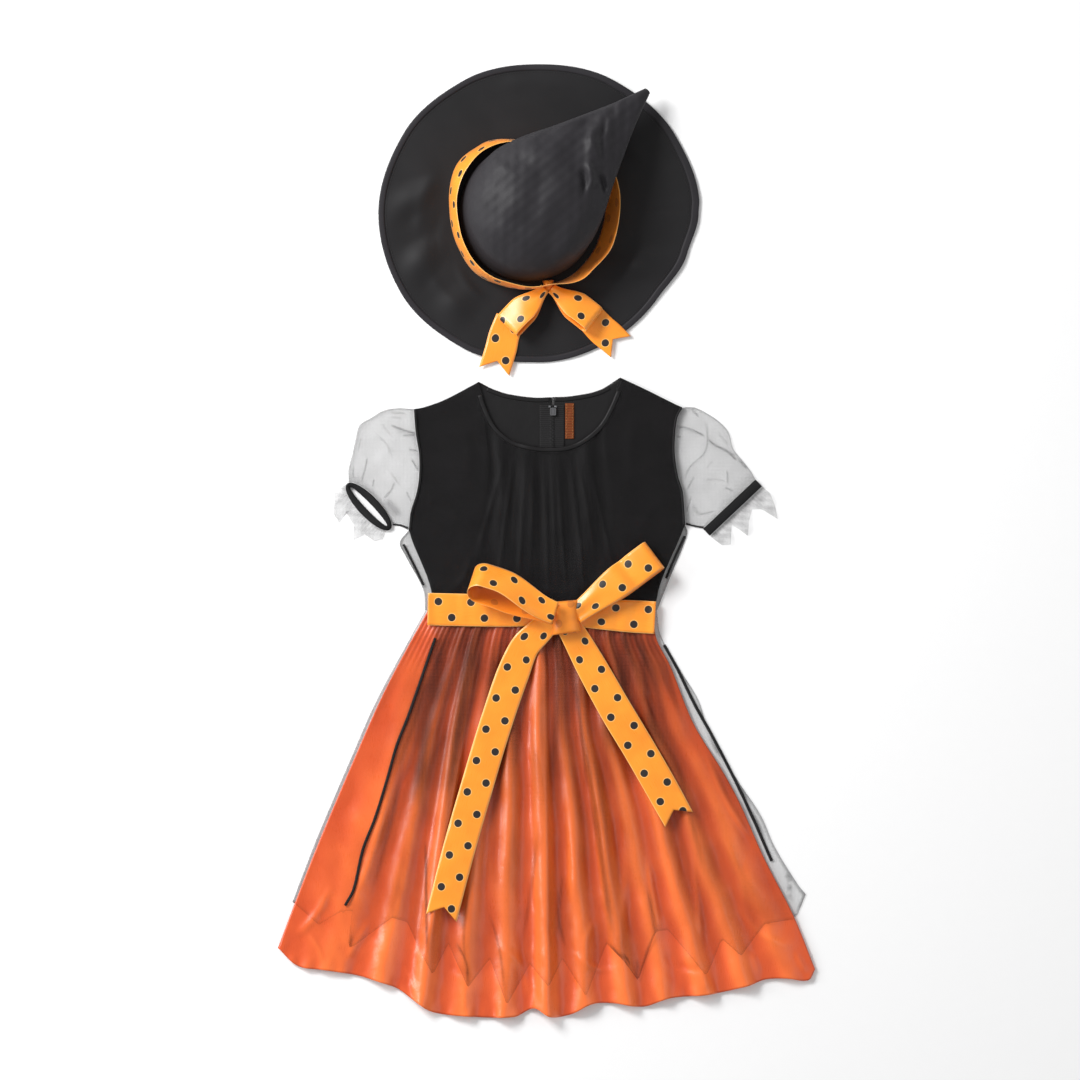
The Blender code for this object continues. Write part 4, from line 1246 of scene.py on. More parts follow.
@dataclass
class Bodice:
    """The dress's top: satin back halves and front, their net, and the neckline's bindings."""

    shoulder_left: Sequence[Row] = ((-156, 155), (-145, 157), (-120, 166), (-80, 187))
    shoulder_right: Sequence[Row] = ((86, 192), (118, 177), (150, 161), (159, 157))
    front_neck: Sequence[Row] = (
        (-80, 187), (-72, 159), (-60, 135), (-43, 120), (-24, 113), (6, 110), (31, 114), (52, 127),
        (66, 143), (80, 172), (86, 192),
    )
    back_neck_left: Sequence[Row] = ((-80, 187), (-67, 180), (-47, 173), (-15, 168.5), (5.7, 169))
    back_neck_right: Sequence[Row] = ((6.1, 169), (27, 170), (61, 177), (86, 192))
    armhole_left: Sequence[Row] = (
        (-156, 155), (-154, 128), (-150, 102), (-150, 75), (-153, 56), (-160, 33), (-162, 13),
    )
    armhole_right: Sequence[Row] = (
        (159, 157), (153, 145), (150, 123), (150, 100), (154, 75), (159, 59), (161, 38), (162, 19),
    )
    side_left: Sequence[Row] = ((-162, 13), (-159, 2), (-136, -58), (-140, WAIST_Y + SEAM))
    side_right: Sequence[Row] = ((162, 19), (157, 6), (134, -48), (126, WAIST_Y + SEAM))
    net_side_left: Sequence[Row] = (
        (-162, 13), (-173, -2), (-166, -18), (-145, -58), (-143, WAIST_Y + SEAM),
    )
    net_side_right: Sequence[Row] = ((162, 19), (165, 9), (143, -47), (129, WAIST_Y + SEAM))
    armhole_share: float = 0.54
    centre_back: float = 5.9
    neck_gathers: Sequence[Row] = (
        (0.31, 0.22, 1.6), (0.38, 0.33, 2.2), (0.45, 0.44, 2.8), (0.52, 0.53, 2.0), (0.60, 0.64, 2.6),
        (0.68, 0.77, 1.8),
    )
    pleats: Sequence[Crease] = (
        Crease(((-46, 112), (-66, 40), (-88, -40)), 3.2, 1.3),
        Crease(((-38, 110), (-49, 20), (-60, -66)), 2.4, 1.5),
        Crease(((-31, 110), (-40, 50), (-44, -10)), 1.8, -0.9),
        Crease(((-24, 108), (-30, 10), (-34, -70)), 2.6, 1.7),
        Crease(((-16, 107), (-17, 30), (-20, -45)), 2.0, 1.4),
        Crease(((-10, 106), (-8, 20), (-8, -72)), 1.8, -1.1),
        Crease(((-3, 105), (0, 0), (2, -70)), 2.6, 1.8),
        Crease(((5, 105), (8, 40), (10, -30)), 1.8, 1.2),
        Crease(((12, 106), (18, 10), (24, -74)), 2.4, 1.6),
        Crease(((19, 108), (25, 50), (29, -20)), 1.8, -0.9),
        Crease(((26, 109), (36, 20), (46, -70)), 2.8, 1.7),
        Crease(((33, 112), (47, 40), (58, -30)), 2.2, 1.2),
        Crease(((41, 116), (62, 40), (82, -50)), 3.0, 1.2),
        Crease(((-150, 98), (-110, 84), (-76, 60)), 5.0, 0.9),
        Crease(((-151, 64), (-118, 44), (-96, 6)), 5.0, 0.8),
        Crease(((150, 92), (118, 84), (84, 66)), 5.0, 0.9),
        Crease(((154, 58), (124, 38), (104, -6)), 5.0, 0.8),
        Crease(((-128, -70), (-98, -44), (-86, -6)), 4.5, 1.0),
        Crease(((112, -74), (96, -40), (90, -2)), 4.5, 1.0),
        Crease(((-100, 150), (-92, 100), (-96, 60)), 7.0, 0.8),
        Crease(((106, 160), (98, 110), (100, 60)), 7.0, 0.8),
    )

    def make(self, room: Workroom) -> dict[str, Surface]:
        """Build the bodice.

        Args:
            room: Where pieces are dressed.

        Returns:
            The surfaces that other pieces lie on, by name.
        """
        left = self._edge(self.armhole_left, self.side_left)
        right = self._edge(self.armhole_right, self.side_right)
        net_left = self._edge(self.armhole_left, self.net_side_left)
        net_right = self._edge(self.armhole_right, self.net_side_right)
        surfaces = self._backs(room, left, right, net_left, net_right)
        surfaces.update(self._front(room, left, right))
        self._neck(room, surfaces)
        return surfaces

    def _edge(self, armhole: Sequence[Row], side: Sequence[Row]) -> Chain:
        """A side edge: the armhole, then the side seam."""
        return Chain((self.armhole_share, Track(armhole)), (1.0 - self.armhole_share, Track(side)))

    def _backs(
        self, room: Workroom, left: Chain, right: Chain, net_left: Chain, net_right: Chain
    ) -> dict[str, Surface]:
        """Build the back halves and their net, from the table up."""
        found = {}
        u, v = grid(44, 70)
        for side, satin_edge, net_edge in ((Side.LEFT, left, net_left), (Side.RIGHT, right, net_right)):
            seam = self.centre_back + (-0.2 if side is Side.LEFT else 0.2)
            centre = Track([(seam, 169), (seam, WAIST_Y + SEAM)])
            middle = (seam, WAIST_Y + SEAM)
            for layer, edge in enumerate((net_edge, satin_edge)):
                foot = tuple(edge.at(1.0))
                if side is Side.LEFT:
                    top = Chain((0.45, Track(self.shoulder_left)), (0.55, Track(self.back_neck_left)))
                    patch = Patch(top, Track([foot, middle]), edge, centre)
                else:
                    top = Chain((0.55, Track(self.back_neck_right)), (0.45, Track(self.shoulder_right)))
                    patch = Patch(top, Track([middle, foot]), centre, edge)
                place = patch.at(u, v)
                wave = 0.14 * ripple(place[..., 0], place[..., 1], 55.0, 3 + layer)
                height = layer * LAYER + MID_WALL + belt_lift_bodice(v) + wave
                flat = (0.155, 0.275)
                if layer:
                    surface = laid(place, height)
                    name = f"bodice_back_{side.value}"
                    room.cloth(
                        name, surface, Slot.BODICE_SATIN, [room.finishes.bodice_satin], flat, "laid",
                        [f"bodice_overlay_back_{side.value}"], area=0.0372,
                    )
                else:
                    surface = laid(place, height, np.full(u.shape, 0.30) + self._rim(u, side))
                    name = f"bodice_overlay_back_{side.value}"
                    room.cloth(
                        name, surface, Slot.BODICE_NET, [room.finishes.bodice_net], flat, "laid",
                        [], area=0.0375, thick=0.35,
                    )
                found[name] = surface
        return found

    def _rim(self, u: Array, side: Side) -> Array:
        """Extra cover at the net's outer edge, where it is folded in."""
        outer = u if side is Side.LEFT else 1.0 - u
        return 0.35 * (1.0 - ramp(outer, 0.0, 0.02))

    def _front(self, room: Workroom, left: Chain, right: Chain) -> dict[str, Surface]:
        """Build the satin front and its gathered net."""
        top = Chain(
            (0.25, Track(self.shoulder_left)),
            (0.5, Track(self.front_neck)),
            (0.25, Track(self.shoulder_right)),
        )
        patch = Patch(top, Track([self.side_left[-1], self.side_right[-1]]), left, right)
        found = {}
        for name, cells in (("bodice_front", (96, 90)), ("bodice_overlay_front", (210, 170))):
            u, v = grid(*cells)
            place = patch.at(u, v)
            height = self._front_height(u, v)
            if name == "bodice_front":
                surface = laid(place, height + MID_WALL)
                room.cloth(
                    name, surface, Slot.BODICE_SATIN, [room.finishes.bodice_satin], (0.33, 0.275), "laid",
                    ["bodice_back_left", "bodice_back_right", "zip_tape"], area=0.0742,
                )
            else:
                fold, _ = creased(place[..., 0], place[..., 1], self.pleats)
                soft = 0.35 * ripple(place[..., 0], place[..., 1], 30.0, 11)
                height = height + LAYER + MID_WALL + np.maximum(fold + soft, -0.6)
                surface = laid(place, height, np.full(u.shape, 0.62))
                room.cloth(
                    name, surface, Slot.BODICE_NET, [room.finishes.bodice_net], (0.35, 0.275), "gathered",
                    ["bodice_front"], area=0.0796, thick=0.35,
                )
            found[name] = surface
        return found

    def _front_height(self, u: Array, v: Array) -> Array:
        """The satin front's underside: over the zip, over the belt and in its neck gathers."""
        over_zip = ramp(u, 0.3, 0.42) * (1.0 - ramp(u, 0.6, 0.72))
        gather = gathers(u, v, self.neck_gathers, 1.2) * (0.55 + 0.45 * np.cos(math.pi * v))
        gather = gather * ramp(v, -0.3, 0.3)
        return LAYER * (2.0 + over_zip) + belt_lift_bodice(v) + gather

    def _neck(self, room: Workroom, surfaces: dict[str, Surface]) -> None:
        """Build the narrow bindings of the front and back neckline, with their stitching."""
        front = Ground(surfaces["bodice_overlay_front"])
        back = Ground(surfaces["bodice_back_left"], surfaces["bodice_back_right"])
        width = 5.0
        rows = (
            ("neck_binding_front", self.front_neck, (0.06, 0.94), front),
            ("neck_binding_back_left", self.back_neck_left, (0.14, 0.96), back),
            ("neck_binding_back_right", self.back_neck_right, (0.04, 0.8), back),
        )
        for name, line, (start, stop), ground in rows:
            track = Track(line)
            shares = np.linspace(start, stop, 90)
            centre = track.at(shares)[:, :2]
            run = np.gradient(centre, axis=0)
            run /= np.linalg.norm(run, axis=1, keepdims=True)
            inward = np.stack([run[:, 1], -run[:, 0]], axis=1)
            depth = np.linspace(0.0, 1.0, 7)
            place = centre[None] + inward[None] * (depth * width + 0.3)[:, None, None]
            under = ground.heights(place[..., 0], place[..., 1])
            level = np.maximum(under.max(axis=0), under)
            roll = np.sqrt(np.clip(1.0 - (2.0 * depth - 1.0) ** 4, 0.0, 1.0))[:, None]
            height = level + 0.35 + 0.7 * roll
            along = shares * track.length * MM
            weave = np.stack(np.broadcast_arrays(depth[:, None] * width * MM, along[None]), axis=-1)
            surface = Surface(np.concatenate([place, height[..., None]], axis=-1), weave, flip=False)
            length = (stop - start) * track.length * MM
            room.cloth(
                name, surface, Slot.TRIM, [room.finishes.bodice_satin], (0.0105, length + 0.004), "folded",
                ["bodice_overlay_front" if "front" in name else "bodice_back_left"], area=0.0058 * length,
                thick=0.4,
            )
            surfaces[name] = surface
            seam = Track([tuple(point) for point in (centre + inward * (width + 1.2))])
            places = stitches_along(seam, 2.6, 0.0, lambda x, y: ground.height(x, y) + 0.35)
            mesh = repeated(f"stitches_{name}", thread_stitch(1.9, 0.2), places)
            room.piece(f"stitches_{name}", mesh, Slot.TRIM, [], [room.finishes.thread])


@dataclass
class Zip:
    """The inside of the centre-back zip, with its slider, top stops and the label strip beside it."""

    centre: float = 5.9
    tape_half: float = 14.5
    top: float = 160.0
    foot: float = WAIST_Y + 54.0
    pitch: float = 1.7

    def make(self, room: Workroom) -> None:
        """Build the zip.

        Args:
            room: Where pieces are dressed.
        """
        u, v = grid(24, 110)
        x = self.centre + (u - 0.5) * 2.0 * self.tape_half
        y = mix(self.top, self.foot, v)
        ridge = 0.35 * np.exp(-(((u - 0.5) / 0.06) ** 2)) + 0.12 * ripple(x, y, 22.0, 5)
        surface = laid(np.stack([x, y], axis=-1), 2.0 * LAYER + MID_WALL + ridge)
        room.cloth(
            "zip_tape", surface, Slot.TRIM, [room.finishes.trim], (0.029, 0.19), "laid",
            ["bodice_back_left", "bodice_back_right"], thick=0.45,
        )
        self._teeth(room)
        self._hardware(room)
        self._label(room)

    def _teeth(self, room: Workroom) -> None:
        """Sew the coil's two rows of teeth along the tape's middle."""
        count = int((self.top - 8.0 - self.foot) / self.pitch)
        places = []
        for k in range(count):
            y = self.foot + 2.0 + k * self.pitch
            for side, shift in ((-1.0, 0.0), (1.0, self.pitch / 2.0)):
                places.append(Matrix.Translation(
                    Vector((self.centre + side * 1.1, y + shift, 2.0 * LAYER + 0.85)) * MM
                ))
        mesh = repeated("zip_coil", zip_tooth(2.6, 0.85, 0.9), places)
        room.piece("zip_coil", mesh, Slot.TRIM, [], [room.finishes.thread])

    def _hardware(self, room: Workroom) -> None:
        """Model the slider's body and the two top stops."""
        low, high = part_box("zip_slider")
        size = [high[axis] - low[axis] for axis in range(3)]
        centre = [(high[axis] + low[axis]) / 2.0 for axis in range(3)]
        select_none()
        bpy.ops.mesh.primitive_cube_add(size=1.0, location=centre)
        slider = bpy.context.object
        slider.scale = size
        bpy.ops.object.transform_apply(location=True, rotation=True, scale=True)
        self._pick_faces(slider, lambda face: face.normal.z > 0.9)
        bpy.ops.mesh.inset(thickness=0.16 * size[0], depth=0.0)
        bpy.ops.mesh.extrude_region_move(TRANSFORM_OT_translate={"value": (0.0, 0.0, -0.28 * size[2])})
        bpy.ops.mesh.inset(thickness=0.14 * size[0], depth=0.0)
        bpy.ops.mesh.extrude_region_move(TRANSFORM_OT_translate={"value": (0.0, 0.0, 0.24 * size[2])})
        bpy.ops.object.mode_set(mode="OBJECT")
        self._pick_edges(slider, lambda a, b: abs(a.z - b.z) > 0.4 * size[2])
        bpy.ops.mesh.bevel(offset=0.2 * size[0], segments=3, affect="EDGES")
        bpy.ops.object.mode_set(mode="OBJECT")
        bpy.ops.object.shade_smooth_by_angle(angle=math.radians(40))
        room.piece("zip_slider_body", take_mesh(slider), Slot.ZIP, ["zip_slider"], [room.finishes.metal])
        for side in Side:
            low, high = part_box(f"zip_stop_{side.value}")
            select_none()
            bpy.ops.mesh.primitive_cube_add(size=1.0, location=[(a + b) / 2.0 for a, b in zip(low, high)])
            stop = bpy.context.object
            stop.scale = [b - a for a, b in zip(low, high)]
            bpy.ops.object.transform_apply(location=True, rotation=True, scale=True)
            bpy.ops.object.mode_set(mode="EDIT")
            bpy.ops.mesh.select_all(action="SELECT")
            bpy.ops.mesh.bevel(offset=0.0004, segments=3, affect="EDGES")
            bpy.ops.object.mode_set(mode="OBJECT")
            bpy.ops.object.shade_smooth()
            room.piece(
                f"zip_top_stop_{side.value}", take_mesh(stop), Slot.ZIP, [f"zip_stop_{side.value}"],
                [room.finishes.metal],
            )

    def _pick_faces(self, thing: bpy.types.Object, wanted: Callable[[bpy.types.MeshPolygon], bool]) -> None:
        """Select faces by a test and leave edit mode on."""
        bpy.ops.object.mode_set(mode="EDIT")
        bpy.ops.mesh.select_mode(type="FACE")
        bpy.ops.mesh.select_all(action="DESELECT")
        bpy.ops.object.mode_set(mode="OBJECT")
        for face in thing.data.polygons:
            face.select = wanted(face)
        bpy.ops.object.mode_set(mode="EDIT")

    def _pick_edges(self, thing: bpy.types.Object, wanted: Callable[[Vector, Vector], bool]) -> None:
        """Select edges by a test on their ends and leave edit mode on."""
        bpy.ops.object.mode_set(mode="EDIT")
        bpy.ops.mesh.select_mode(type="EDGE")
        bpy.ops.mesh.select_all(action="DESELECT")
        bpy.ops.object.mode_set(mode="OBJECT")
        corners = thing.data.vertices
        for edge in thing.data.edges:
            edge.select = wanted(*(corners[k].co for k in edge.vertices))
        bpy.ops.object.mode_set(mode="EDIT")

    def _label(self, room: Workroom) -> None:
        """Lay the rust-coloured strip beside the zip and sew it with pale stitches."""
        low, high = (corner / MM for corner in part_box("neck_label"))
        u, v = grid(10, 40)
        x, y = mix(low[0], high[0], u), mix(high[1], low[1], v)
        height = low[2] + 0.45 + 0.15 * ripple(x, y, 9.0, 8)
        place = np.stack([x, y], axis=-1)
        room.cloth(
            "neck_label", laid(place, height), Slot.LABEL, [room.finishes.label], (0.0105, 0.042), "laid",
            ["bodice_back_right"], thick=0.4,
        )
        places = []
        draw = np.random.default_rng(4)
        for k in range(11):
            for edge in (0.16, 0.84):
                x = mix(low[0], high[0], edge) + draw.uniform(-0.5, 0.5)
                y = mix(high[1] - 2.0, low[1] + 2.0, k / 10)
                turn = Matrix.Rotation(draw.uniform(0.9, 1.9), 4, "Z")
                places.append(Matrix.Translation(Vector((x, y, low[2] + 0.85)) * MM) @ turn)
        mesh = repeated("label_stitches", thread_stitch(2.2, 0.22), places)
        room.piece("label_stitches", mesh, Slot.LABEL, [], [room.finishes.pale_thread])


@dataclass
class Skirt:
    """The gathered satin skirt under its handkerchief-hemmed net."""

    left: Sequence[Row] = (
        (-140, WAIST_Y - SEAM), (-172, -140), (-196, -187), (-227, -257), (-267, -351), (-295, -422),
        (-316, -478),
    )
    right: Sequence[Row] = (
        (126, WAIST_Y - SEAM), (128, -113), (145, -147), (172, -214), (209, -275), (228, -311), (254, -370),
        (290, -441), (315, -503),
    )
    hem: Sequence[Row] = (
        (-316, -478), (-293, -499), (-262, -504), (-224, -510), (-197, -518), (-175, -526), (-153, -542),
        (-135, -553), (-101, -558), (-39, -559), (-15, -549), (4, -559), (28, -556), (53, -544), (78, -543),
        (113, -547), (145, -537), (189, -533), (235, -523), (257, -515), (282, -514), (307, -516),
        (315, -503),
    )
    net_hem: Sequence[Row] = (
        (-300, -424), (-268, -452), (-239, -435), (-229, -478), (-182, -444), (-170, -436), (-150, -481),
        (-134, -510), (-116, -474), (-93, -525), (-67, -492), (-47, -545), (-20, -498), (2, -524), (18, -492),
        (46, -535), (70, -474), (92, -496), (107, -517), (133, -447), (187, -511), (206, -469), (228, -488),
        (256, -451), (286, -446),
    )
    net_left: Sequence[Row] = (
        (-143, WAIST_Y - SEAM), (-200, -187), (-231, -257), (-271, -351), (-299, -424),
    )
    net_right: Sequence[Row] = (
        (129, WAIST_Y - SEAM), (134, -112), (158, -154), (178, -187), (189, -219), (222, -278), (251, -322),
        (268, -360), (295, -404), (304, -415),
    )
    net_back_hem: Sequence[Row] = (
        (-299, -424), (-240, -470), (-190, -430), (-120, -500), (-60, -450), (0, -505), (60, -450),
        (120, -500), (180, -440), (235, -480), (270, -425), (293, -443), (304, -415),
    )
    folds: Sequence[Row] = (
        (0.12, 0.115, 4.5), (0.19, 0.195, 6.5), (0.245, 0.28, 11.0), (0.34, 0.357, 7.5), (0.43, 0.428, 9.0),
        (0.522, 0.505, 13.5), (0.60, 0.58, 8.5), (0.665, 0.652, 10.5), (0.73, 0.72, 7.0), (0.80, 0.79, 9.5),
        (0.87, 0.864, 7.5), (0.94, 0.94, 4.5),
    )
    overlock_left: Sequence[Row] = (
        (-131, -114, 5), (-135, -125, 5), (-148, -163, 5), (-163, -206, 5), (-176, -239, 5), (-188, -281, 5),
        (-202, -326, 5), (-216, -362, 5), (-227, -409, 5), (-237, -428, 5),
    )
    overlock_right: Sequence[Row] = (
        (137.5, -122, 5), (153, -150, 5), (174, -193, 5), (193, -227, 5), (221, -281, 5), (243, -328, 5),
        (264, -376, 5),
    )
    satin_creases: Sequence[Crease] = (
        Crease(((-2, -113), (0, -300), (2, -551)), 3.5, 2.2, fade=0.12),
        Crease(((-31, -208), (-26, -238), (-21, -269)), 2.2, -1.8),
        Crease(((-22, -230), (-15, -300), (-16, -360)), 6.0, 1.6),
        Crease(((114, -173), (122, -194), (130, -214)), 2.6, -2.0),
        Crease(((116, -360), (126, -420), (134, -469)), 3.4, 2.4),
        Crease(((169, -352), (178, -430), (184, -489)), 3.6, 2.4),
        Crease(((179, -230), (214, -310), (260, -378)), 3.4, 1.8),
        Crease(((-78, -110), (-108, -290), (-143, -500)), 3.4, 2.0, fade=0.15),
        Crease(((-60, -300), (-66, -380), (-58, -450)), 6.0, 1.8),
        Crease(((-92, -330), (-104, -400), (-112, -460)), 4.5, -1.6),
        Crease(((24, -300), (30, -390), (22, -470)), 5.5, 1.8),
        Crease(((52, -260), (66, -350), (74, -430)), 4.5, 1.6),
        Crease(((88, -300), (92, -400), (84, -500)), 5.0, 2.0),
        Crease(((-180, -280), (-206, -370), (-238, -450)), 5.0, 1.8),
        Crease(((-160, -330), (-172, -400), (-190, -470)), 4.0, -1.4),
        Crease(((-250, -400), (-272, -440), (-300, -470)), 4.5, 2.0),
        Crease(((-205, -440), (-222, -470), (-240, -500)), 4.0, 1.8),
        Crease(((-130, -470), (-110, -500), (-80, -520)), 5.0, -1.5),
        Crease(((-60, -470), (-30, -500), (-20, -545)), 4.5, 2.0),
        Crease(((30, -480), (52, -500), (80, -505)), 4.0, 1.7),
        Crease(((130, -480), (160, -500), (200, -505)), 4.5, -1.6),
        Crease(((220, -420), (250, -460), (290, -480)), 4.5, 1.9),
        Crease(((200, -330), (222, -380), (236, -440)), 5.0, 1.6),
        Crease(((150, -300), (160, -360), (158, -420)), 5.0, -1.4),
        Crease(((-8, -440), (10, -470), (12, -520)), 4.0, -1.6),
        Crease(((60, -440), (46, -470), (50, -510)), 3.6, 1.6),
        Crease(((-150, -200), (-158, -240), (-172, -290)), 4.0, 1.2),
        Crease(((-280, -460), (-268, -480), (-262, -502)), 3.0, 1.6),
        Crease(((-170, -500), (-160, -515), (-155, -538)), 3.0, 1.6),
        Crease(((-100, -520), (-96, -535), (-98, -555)), 3.0, 1.5),
        Crease(((240, -480), (246, -500), (250, -514)), 3.0, 1.6),
        Crease(((180, -500), (186, -515), (188, -530)), 3.0, 1.5),
        Crease(((290, -480), (298, -495), (306, -510)), 3.0, 1.4),
    )
    net_lines: Sequence[Crease] = (
        Crease(((-122, -102), (-130, -160), (-144, -220), (-154, -316)), 8.0, 0.9, 0.42, 0.2),
        Crease(((-92, -100), (-102, -200), (-119, -316)), 6.5, 0.9, 0.36, 0.2),
        Crease(((-143, -345), (-142, -420), (-141, -492)), 1.3, 0.7, 0.42, 0.2),
        Crease(((86, -105), (92, -200), (100, -300)), 9.0, 0.9, 0.34, 0.25),
        Crease(((35, -175), (42, -240), (49, -302)), 2.0, 0.6, 0.34, 0.25),
        Crease(((40, -208), (58, -330), (78, -472)), 3.2, 0.7, 0.32, 0.2),
        Crease(((47, -281), (62, -370), (76, -469)), 2.0, 0.5, 0.3, 0.25),
        Crease(((117, -399), (124, -440), (132, -488)), 2.2, 0.6, 0.34, 0.3),
        Crease(((-60, -104), (-70, -200), (-84, -300)), 5.0, 0.7, 0.22, 0.25),
        Crease(((-36, -105), (-44, -180), (-60, -250)), 4.0, 0.6, 0.24, 0.3),
        Crease(((8, -115), (10, -200), (4, -300)), 4.0, 0.6, 0.2, 0.3),
        Crease(((62, -105), (66, -180), (72, -260)), 5.0, 0.7, 0.28, 0.3),
        Crease(((108, -105), (118, -170), (130, -240)), 4.0, 0.7, 0.28, 0.3),
        Crease(((-108, -250), (-118, -340), (-130, -420)), 2.0, 0.5, 0.22, 0.3),
        Crease(((-168, -260), (-186, -340), (-208, -420)), 2.4, 0.5, 0.22, 0.3),
        Crease(((-10, -330), (-18, -400), (-30, -480)), 2.2, 0.5, 0.2, 0.3),
        Crease(((20, -380), (14, -440), (24, -488)), 1.6, 0.5, 0.26, 0.3),
        Crease(((150, -250), (170, -330), (186, -400)), 3.0, 0.5, 0.2, 0.3),
        Crease(((-92, -400), (-98, -460), (-94, -520)), 1.6, 0.5, 0.24, 0.3),
        Crease(((-70, -430), (-56, -480), (-49, -540)), 1.6, 0.5, 0.24, 0.3),
        Crease(((73, -472), (84, -486), (95, -490), (88, -508), (68, -535)), 1.4, 0.5, 0.5, 0.12),
        Crease(((-229, -458), (-230, -478), (-206, -466), (-182, -444)), 1.4, 0.5, 0.42, 0.12),
        Crease(((-108, -474), (-100, -482), (-94, -500), (-93, -523)), 1.4, 0.5, 0.42, 0.12),
        Crease(((106, -488), (107, -517), (118, -480), (132, -448)), 1.3, 0.5, 0.38, 0.12),
    )

    def make(self, room: Workroom) -> dict[str, Surface]:
        """Build the skirt.

        Args:
            room: Where pieces are dressed.

        Returns:
            Its surfaces by name.
        """
        top = Track([self.left[0], self.right[0]])
        satin = Patch(top, Track(self.hem), Track(self.left), Track(self.right))
        surfaces = self._backs(room, satin)
        surfaces["skirt_front"] = self._satin_front(room, satin)
        surfaces["overskirt_front"] = self._net_front(room, satin)
        self._overlocks(room, surfaces)
        return surfaces

    def _backs(self, room: Workroom, satin: Patch) -> dict[str, Surface]:
        """Build the net and satin that lie on the table."""
        net = Patch(
            Track([self.net_left[0], self.net_right[0]]), Track(self.net_back_hem, smooth=False),
            Track(self.net_left), Track(self.net_right),
        )
        u, v = grid(130, 80)
        place = net.at(u, v)
        x, y = place[..., 0], place[..., 1]
        lines = (
            Crease(((290, -380), (302, -410), (296, -440)), 1.6, 0.2, 0.45, 0.15),
            Crease(((256, -330), (280, -380), (288, -430)), 1.6, 0.2, 0.3, 0.2),
            Crease(((204, -240), (236, -310), (262, -360)), 1.4, 0.2, 0.3, 0.2),
            Crease(((160, -165), (186, -215), (206, -262)), 1.4, 0.2, 0.35, 0.2),
        )
        _, shade = creased(x, y, lines)
        rim = 0.30 * (1.0 - ramp(np.minimum(u, 1.0 - u), 0.0, 0.008))
        hem = 0.18 * ramp(v, 0.985, 1.0)
        cover = np.maximum(0.22 + rim + hem, 0.22 + shade)
        height = MID_WALL + belt_lift_skirt(v) + 0.12 * ripple(x, y, 60.0, 21)
        found = {"overskirt_back": laid(place, height, cover)}
        room.cloth(
            "overskirt_back", found["overskirt_back"], Slot.OVERSKIRT_NET, [room.finishes.sleeve_net],
            (0.66, 0.43), "laid", [], area=0.185, thick=0.35,
        )
        u, v = grid(110, 80)
        place = satin.at(u, v * 0.99)
        height = LAYER + MID_WALL + belt_lift_skirt(v) + 0.14 * ripple(place[..., 0], place[..., 1], 70.0, 22)
        found["skirt_back"] = laid(place, height)
        room.cloth(
            "skirt_back", found["skirt_back"], Slot.SKIRT_SATIN, [room.finishes.skirt_satin],
            (0.70, 0.475), "laid", ["overskirt_back"], area=0.235,
        )
        return found

    def _height(self, u: Array, v: Array, place: Array) -> Array:
        """The satin front's surface: gathers that swell towards the hem, and small creases."""
        x, y = place[..., 0], place[..., 1]
        swell = mix(0.3, 1.0, ramp(v, 0.0, 0.6)) * (1.0 - 0.12 * np.sin(7.0 * v + 20.0 * u))
        fold = gathers(u, v, self.folds, 1.25) * swell
        fine, _ = creased(x, y, self.satin_creases)
        crimp = 0.55 * np.sin(2.0 * math.pi * 46.0 * u + 3.0 * np.sin(9.0 * u)) * (1.0 - ramp(v, 0.02, 0.22))
        hem = 0.9 * np.sin(2.0 * math.pi * 31.0 * u + 2.0 * np.sin(17.0 * u)) * ramp(v, 0.955, 1.0)
        soft = 0.6 * ripple(x, y, 46.0, 31) + 0.25 * ripple(x, y, 19.0, 32) * ramp(v, 0.3, 0.9)
        lumps = np.maximum(fold + fine + crimp + hem + soft * ramp(v, 0.0, 0.2), -0.2)
        return 2.0 * LAYER + MID_WALL + belt_lift_skirt(v) + lumps

    def _satin_front(self, room: Workroom, satin: Patch) -> Surface:
        """Build the satin front, with painted fold shade and light in its cover attribute."""
        u, v = grid(250, 184)
        place = satin.at(u, v)
        height = self._height(u, v, place)
        # Painted fold shading: the higher the cloth stands, the lighter it is painted.
        painted_fold_shading = ramp(height - 2.0 * LAYER - belt_lift_skirt(v), -0.5, 7.0) * 0.78 + 0.12
        surface = laid(place, height, np.clip(painted_fold_shading, 0.0, 0.9))
        room.cloth(
            "skirt_front", surface, Slot.SKIRT_SATIN, [room.finishes.skirt_satin], (0.70, 0.475), "gathered",
            ["skirt_back"], area=0.235,
        )
        return surface

    def _net_depth(self, u: Array, satin: Patch) -> Array:
        """How far down the panel the net's jagged hem lies at each share across."""
        hem = Track(self.net_hem, smooth=False).rows
        v = np.full(u.shape, 0.9)
        foot = satin.at(u, np.ones(u.shape))[..., 1]
        for _ in range(5):
            x = satin.at(u, v)[..., 0]
            target = np.interp(x, hem[:, 0], hem[:, 1])
            v = np.clip((WAIST_Y - target) / (WAIST_Y - foot), 0.83, 0.985)
        return v

